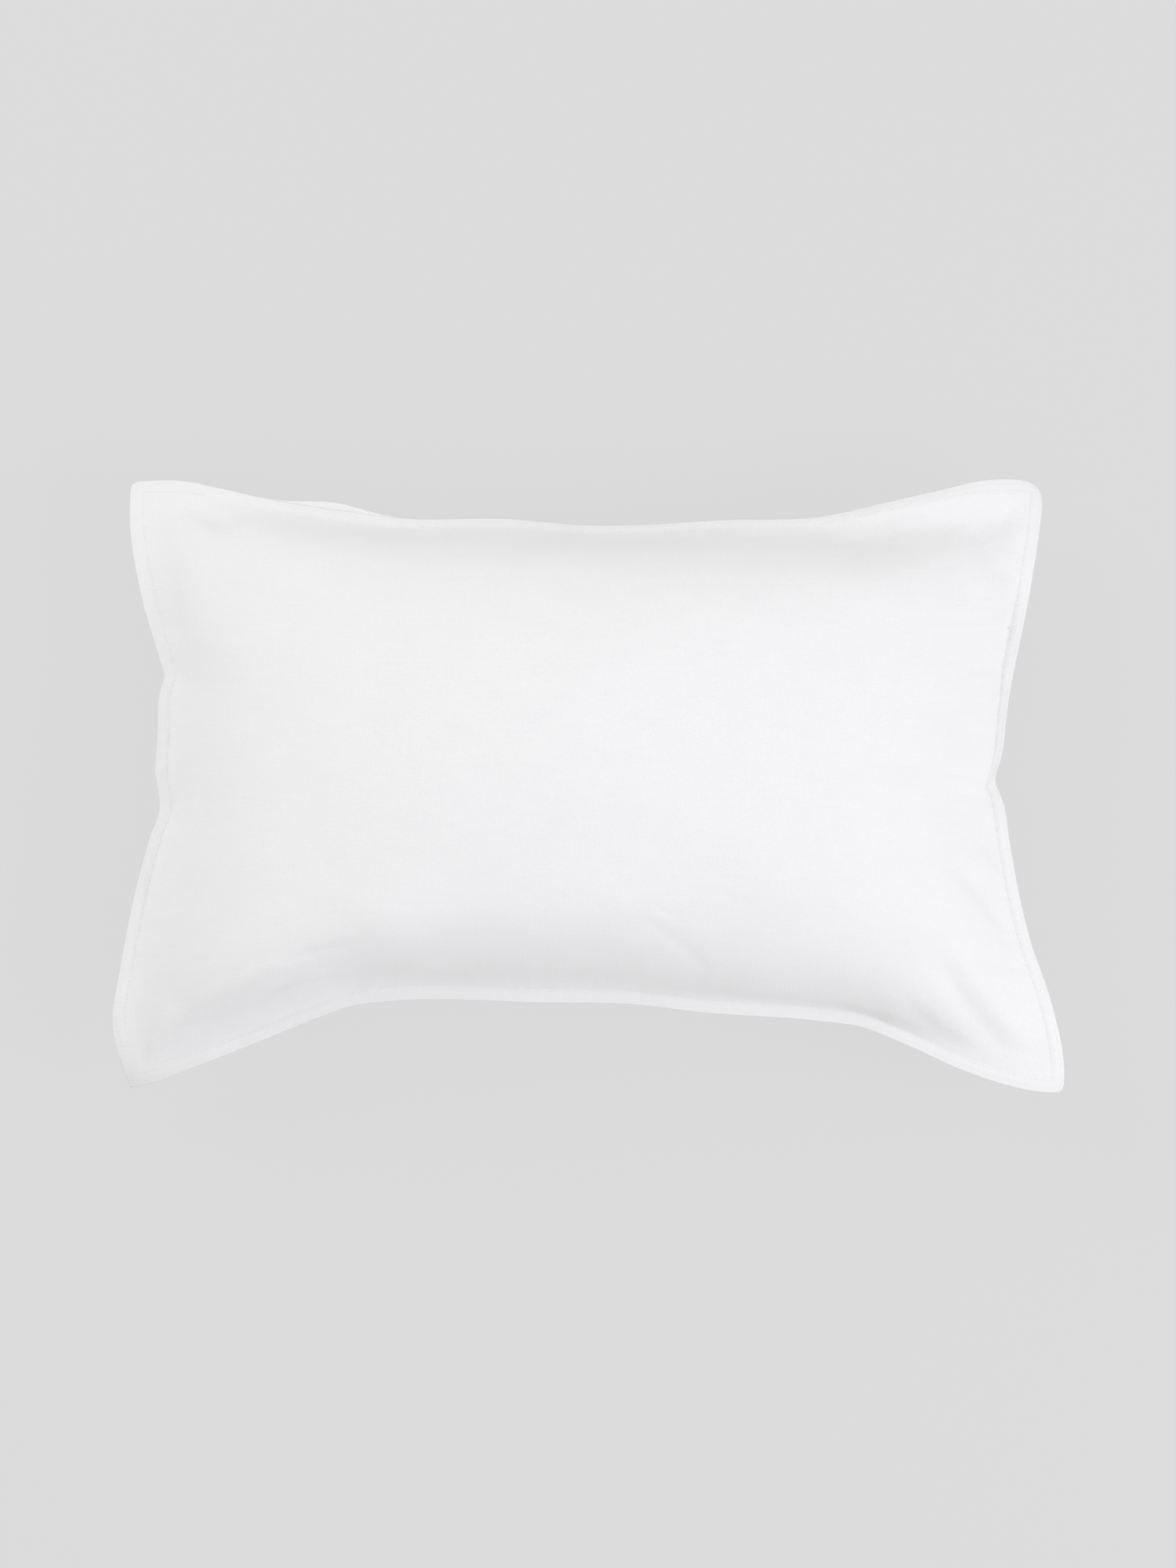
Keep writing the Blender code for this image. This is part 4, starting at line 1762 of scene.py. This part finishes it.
@dataclass
class Studio:
    """A plain pale floor, soft light from the right and a camera straight above the pillow."""

    seam_height: float
    floor_half: float = 14.0
    floor_tone: float = 0.09
    floor_glow: float = 0.619
    dome: float = 0.665
    lens: float = 85.0
    sensor: float = 36.0
    view_length: float = 1.172  # the long side of the view, at the level of the seams
    lamps: tuple[Softbox, ...] = (
        Softbox("key_softbox", (2.6, -0.85, 2.0), 1.8, 41.0, (0.94, 0.93, 1.0)),
        Softbox("far_softbox", (-2.2, 1.9, 2.1), 1.8, 33.0),
        Softbox("top_softbox", (0.0, 0.0, 3.6), 2.0, 8.0),
    )

    def build(self) -> None:
        """Sets up the floor, the light and the camera."""
        self.lay_floor()
        self.light_dome()
        for lamp in self.lamps:
            lamp.hang(Vector((0, 0, self.seam_height)))
        self.place_camera()
        view = bpy.context.scene.view_settings
        view.view_transform = "Standard"
        view.look = "None"

    def lay_floor(self) -> None:
        """A pale floor that the pillow lies on."""
        graph = Graph("pale_floor")
        tone, glow = self.floor_tone, self.floor_glow
        graph.feed(graph.shader, {"Base Color": (tone, tone, tone, 1.0), "Roughness": 0.9})
        graph.feed(graph.shader, {"Emission Color": (1.0, 1.0, 1.0, 1.0), "Emission Strength": glow})
        graph.feed(graph.shader, {"Specular IOR Level": 0.1})
        half = self.floor_half
        mesh = bpy.data.meshes.new("floor")
        corners = [(-half, -half, 0.0), (half, -half, 0.0), (half, half, 0.0), (-half, half, 0.0)]
        mesh.from_pydata(corners, [], [(0, 1, 2, 3)])
        mesh.materials.append(graph.material)
        floor = bpy.data.objects.new("floor", mesh)
        bpy.context.scene.collection.objects.link(floor)

    def light_dome(self) -> None:
        """Even light from all round."""
        world = bpy.data.worlds.new("light_dome")
        world.use_nodes = True
        background = world.node_tree.nodes["Background"]
        background.inputs["Color"].default_value = (1.0, 1.0, 1.0, 1.0)
        background.inputs["Strength"].default_value = self.dome
        bpy.context.scene.world = world

    def place_camera(self) -> None:
        """A camera that looks straight down."""
        data = bpy.data.cameras.new("camera")
        data.lens = self.lens
        data.sensor_width = self.sensor
        camera = bpy.data.objects.new("camera", data)
        height = self.seam_height + self.view_length * self.lens / self.sensor
        camera.location = (0.0, 0.0, height)
        bpy.context.scene.collection.objects.link(camera)
        bpy.context.scene.camera = camera


# ---------------------------------------------------------------- the pillow

SIDES = {
    Side.LEFT: FlangeSide(
        insets=((-1, 12), (-0.3, 11), (0.3, 10.5), (0.6, 13), (1, 12.5)),
        slopes=((-1, -0.1), (-0.3, -0.2), (0.35, -0.25), (0.7, -0.15), (1, 0.05)),
        softness=((-1, 20), (-0.4, 24), (0.3, 26), (0.6, 13), (1, 11)),
        pucker=0.4,
    ),
    Side.RIGHT: FlangeSide(
        insets=((-1, 11), (-0.1, 10.5), (-0.01, 9.5), (0.03, 9.5), (0.35, 10), (0.6, 10.5), (1, 11)),
        slopes=(
            (-1, -0.1), (-0.5, -0.3), (-0.01, -0.35), (0.03, -0.05), (0.40, -0.05), (0.58, -0.1), (1, -0.1),
        ),
        softness=((-1, 30), (-0.05, 40), (0.06, 24), (0.5, 24), (0.7, 30), (1, 20)),
        pucker=1.0,
        overhang=((-1, 0), (-0.04, 0), (0.055, 10), (0.30, 9.5), (0.50, 0), (1, 0)),
    ),
    Side.BOTTOM: FlangeSide(
        insets=((-1, 11), (-0.5, 10.5), (0.3, 9.5), (1, 11)),
        slopes=((-1, -0.1), (-0.5, -0.05), (0.5, -0.05), (1, -0.1)),
        softness=((-1, 10), (-0.5, 9), (0.0, 11), (0.35, 24), (0.7, 26), (1, 24)),
        pucker=0.25,
    ),
    Side.TOP: FlangeSide(
        insets=((-1, 11), (-0.6, 8), (0.0, 6), (0.6, 7), (1, 11)),
        slopes=((-1, -0.05), (-0.6, -0.4), (0.0, -0.6), (0.6, -0.4), (1, -0.05)),
        softness=((-1, 20), (-0.7, 14), (0.1, 12), (0.5, 24), (0.8, 28), (1, 24)),
        pucker=0.3,
    ),
}

CORNERS = (
    Corner(0, 0, 0.003, 0.046),
    Corner(-1, 0, 0.008, 0.010),
    Corner(0, -1, 0.009, 0.036),
    Corner(-1, -1, 0.024, 0.040),
)

FRONT_FOLDS = (
    Fold((256, -48), (326, -128), -2.4, 8.0, 6.0),
    Fold((276, -40), (332, -106), 1.4, 8.0, 5.0),
    Fold((248, -106), (326, -212), -2.8, 9.0, -8.0),
    Fold((270, -106), (336, -198), 1.8, 9.0, -7.0),
    Fold((226, -150), (300, -212), -1.4, 7.0, -5.0),
    Fold((150, 186), (350, 186), -6.5, 27.0),
    Fold((240, 204), (340, 196), -3.5, 17.0),
    Fold((292, 84), (328, 206), 5.0, 20.0),
    Fold((284, 208), (312, 140), -1.6, 8.0, 3.0),
    Fold((285, 219), (303, 204), -0.9, 3.0),
    Fold((-314, 226), (-258, 190), -3.4, 8.0, -4.0),
    Fold((-322, 210), (-304, 84), -3.2, 12.0),
    Fold((-334, -214), (-110, -130), -3.5, 24.0, 8.0),
    Fold((-240, -152), (80, -146), -2.5, 22.0),
    Fold((-320, -158), (-90, -84), 4.5, 30.0),
    Fold((-220, -94), (110, -92), 4.5, 30.0),
    Fold((60, -142), (290, -180), 3.5, 24.0, 6.0),
    Fold((-318, -188), (-206, -140), -1.8, 4.5, -6.0),
    Fold((-312, -202), (-214, -158), -1.6, 4.0, -4.0),
    Fold((-262, -170), (-176, -142), -1.2, 3.5, 3.0),
    Fold((-300, -170), (-196, -122), 1.2, 6.0, 5.0),
    Fold((-236, -128), (-158, -108), -0.8, 4.0, -3.0),
    Fold((-334, -214), (-306, -160), 1.4, 7.0, 3.0),
    Fold((306, 96), (252, 74), -0.8, 3.5, 3.0),
    Fold((302, 60), (244, 46), -0.7, 3.5, -3.0),
    Fold((298, 22), (236, -10), -0.9, 4.5, 4.0),
    Fold((296, -6), (262, -34), -0.8, 4.0, 2.0),
    Fold((304, -40), (270, -62), -0.7, 3.5),
    Fold((310, 130), (240, 118), -0.9, 4.0, 3.0),
    Fold((28, -88), (94, -142), -0.7, 4.5, 2.0),
    Fold((46, -86), (72, -102), -0.5, 2.5),
    Fold((-170, 84), (-148, 66), -0.4, 5.0),
    Fold((154, 74), (150, 12), -0.45, 6.0, 2.0),
)

BACK_FOLDS = (
    Fold((-320, 205), (-250, 160), -2.2, 8.0, 5.0),
    Fold((320, 200), (262, 150), -2.2, 8.0, -5.0),
    Fold((-322, -200), (-262, -146), -2.2, 8.0, -5.0),
    Fold((326, -205), (266, -150), -2.2, 8.0, 5.0),
)


def sew_labels(outline: Outline, satin: bpy.types.Material, reach: float = 0.06) -> None:
    """Sews both labels into their seams.

    Args:
        outline: The outer edge of the filled case.
        satin: The labels' material.
        reach: How far either side of a label the seam's direction is read, as a share of its half.
    """
    for name, node, edge in (
        ("care_label", "case_care_label", outline.right),
        ("insert_label", "ticking_label", outline.left),
    ):
        low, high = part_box(node)
        place = (low[1] + high[1]) / (2 * CAD_BOX[1][1])
        before, after = edge.at(np.array([place - reach, place + reach]))
        heading = np.array([*unit(after - before), 0.0])
        inward = np.array([-heading[1], heading[0], 0.0])
        Label(name, node, heading, inward, satin).build()


def main() -> None:
    """Builds the pillow's looks and its studio."""
    logging.basicConfig(level=logging.INFO, format="%(message)s")
    cut, outline = Cut(), Outline()
    swell = Swell(outline, cut, SIDES, CORNERS)
    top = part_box("case_front_panel")[1][2]
    pockets = swell.grids(top)
    front = CaseFace(Face.FRONT, swell, cut, pockets[Face.FRONT], FRONT_FOLDS, CORNERS)
    back = CaseFace(Face.BACK, swell, cut, pockets[Face.BACK], BACK_FOLDS, CORNERS)
    linen, thread, satin = Linen().make(), Thread().make(), Satin().make()
    Pillowcase(cut, front, back, linen, thread).build()
    cotton = Ticking("ticking_twill").make()
    cord = Ticking("piping_cover", rib=0.0011, relief=0.00018).make()
    folds = {Face.FRONT: FRONT_FOLDS, Face.BACK: BACK_FOLDS}
    Insert(pockets, folds, swell.seam_height, cotton, cord, Fibre().make()).build()
    sew_labels(outline, satin)
    Studio(swell.seam_height).build()


if __name__ == "__main__":
    main()
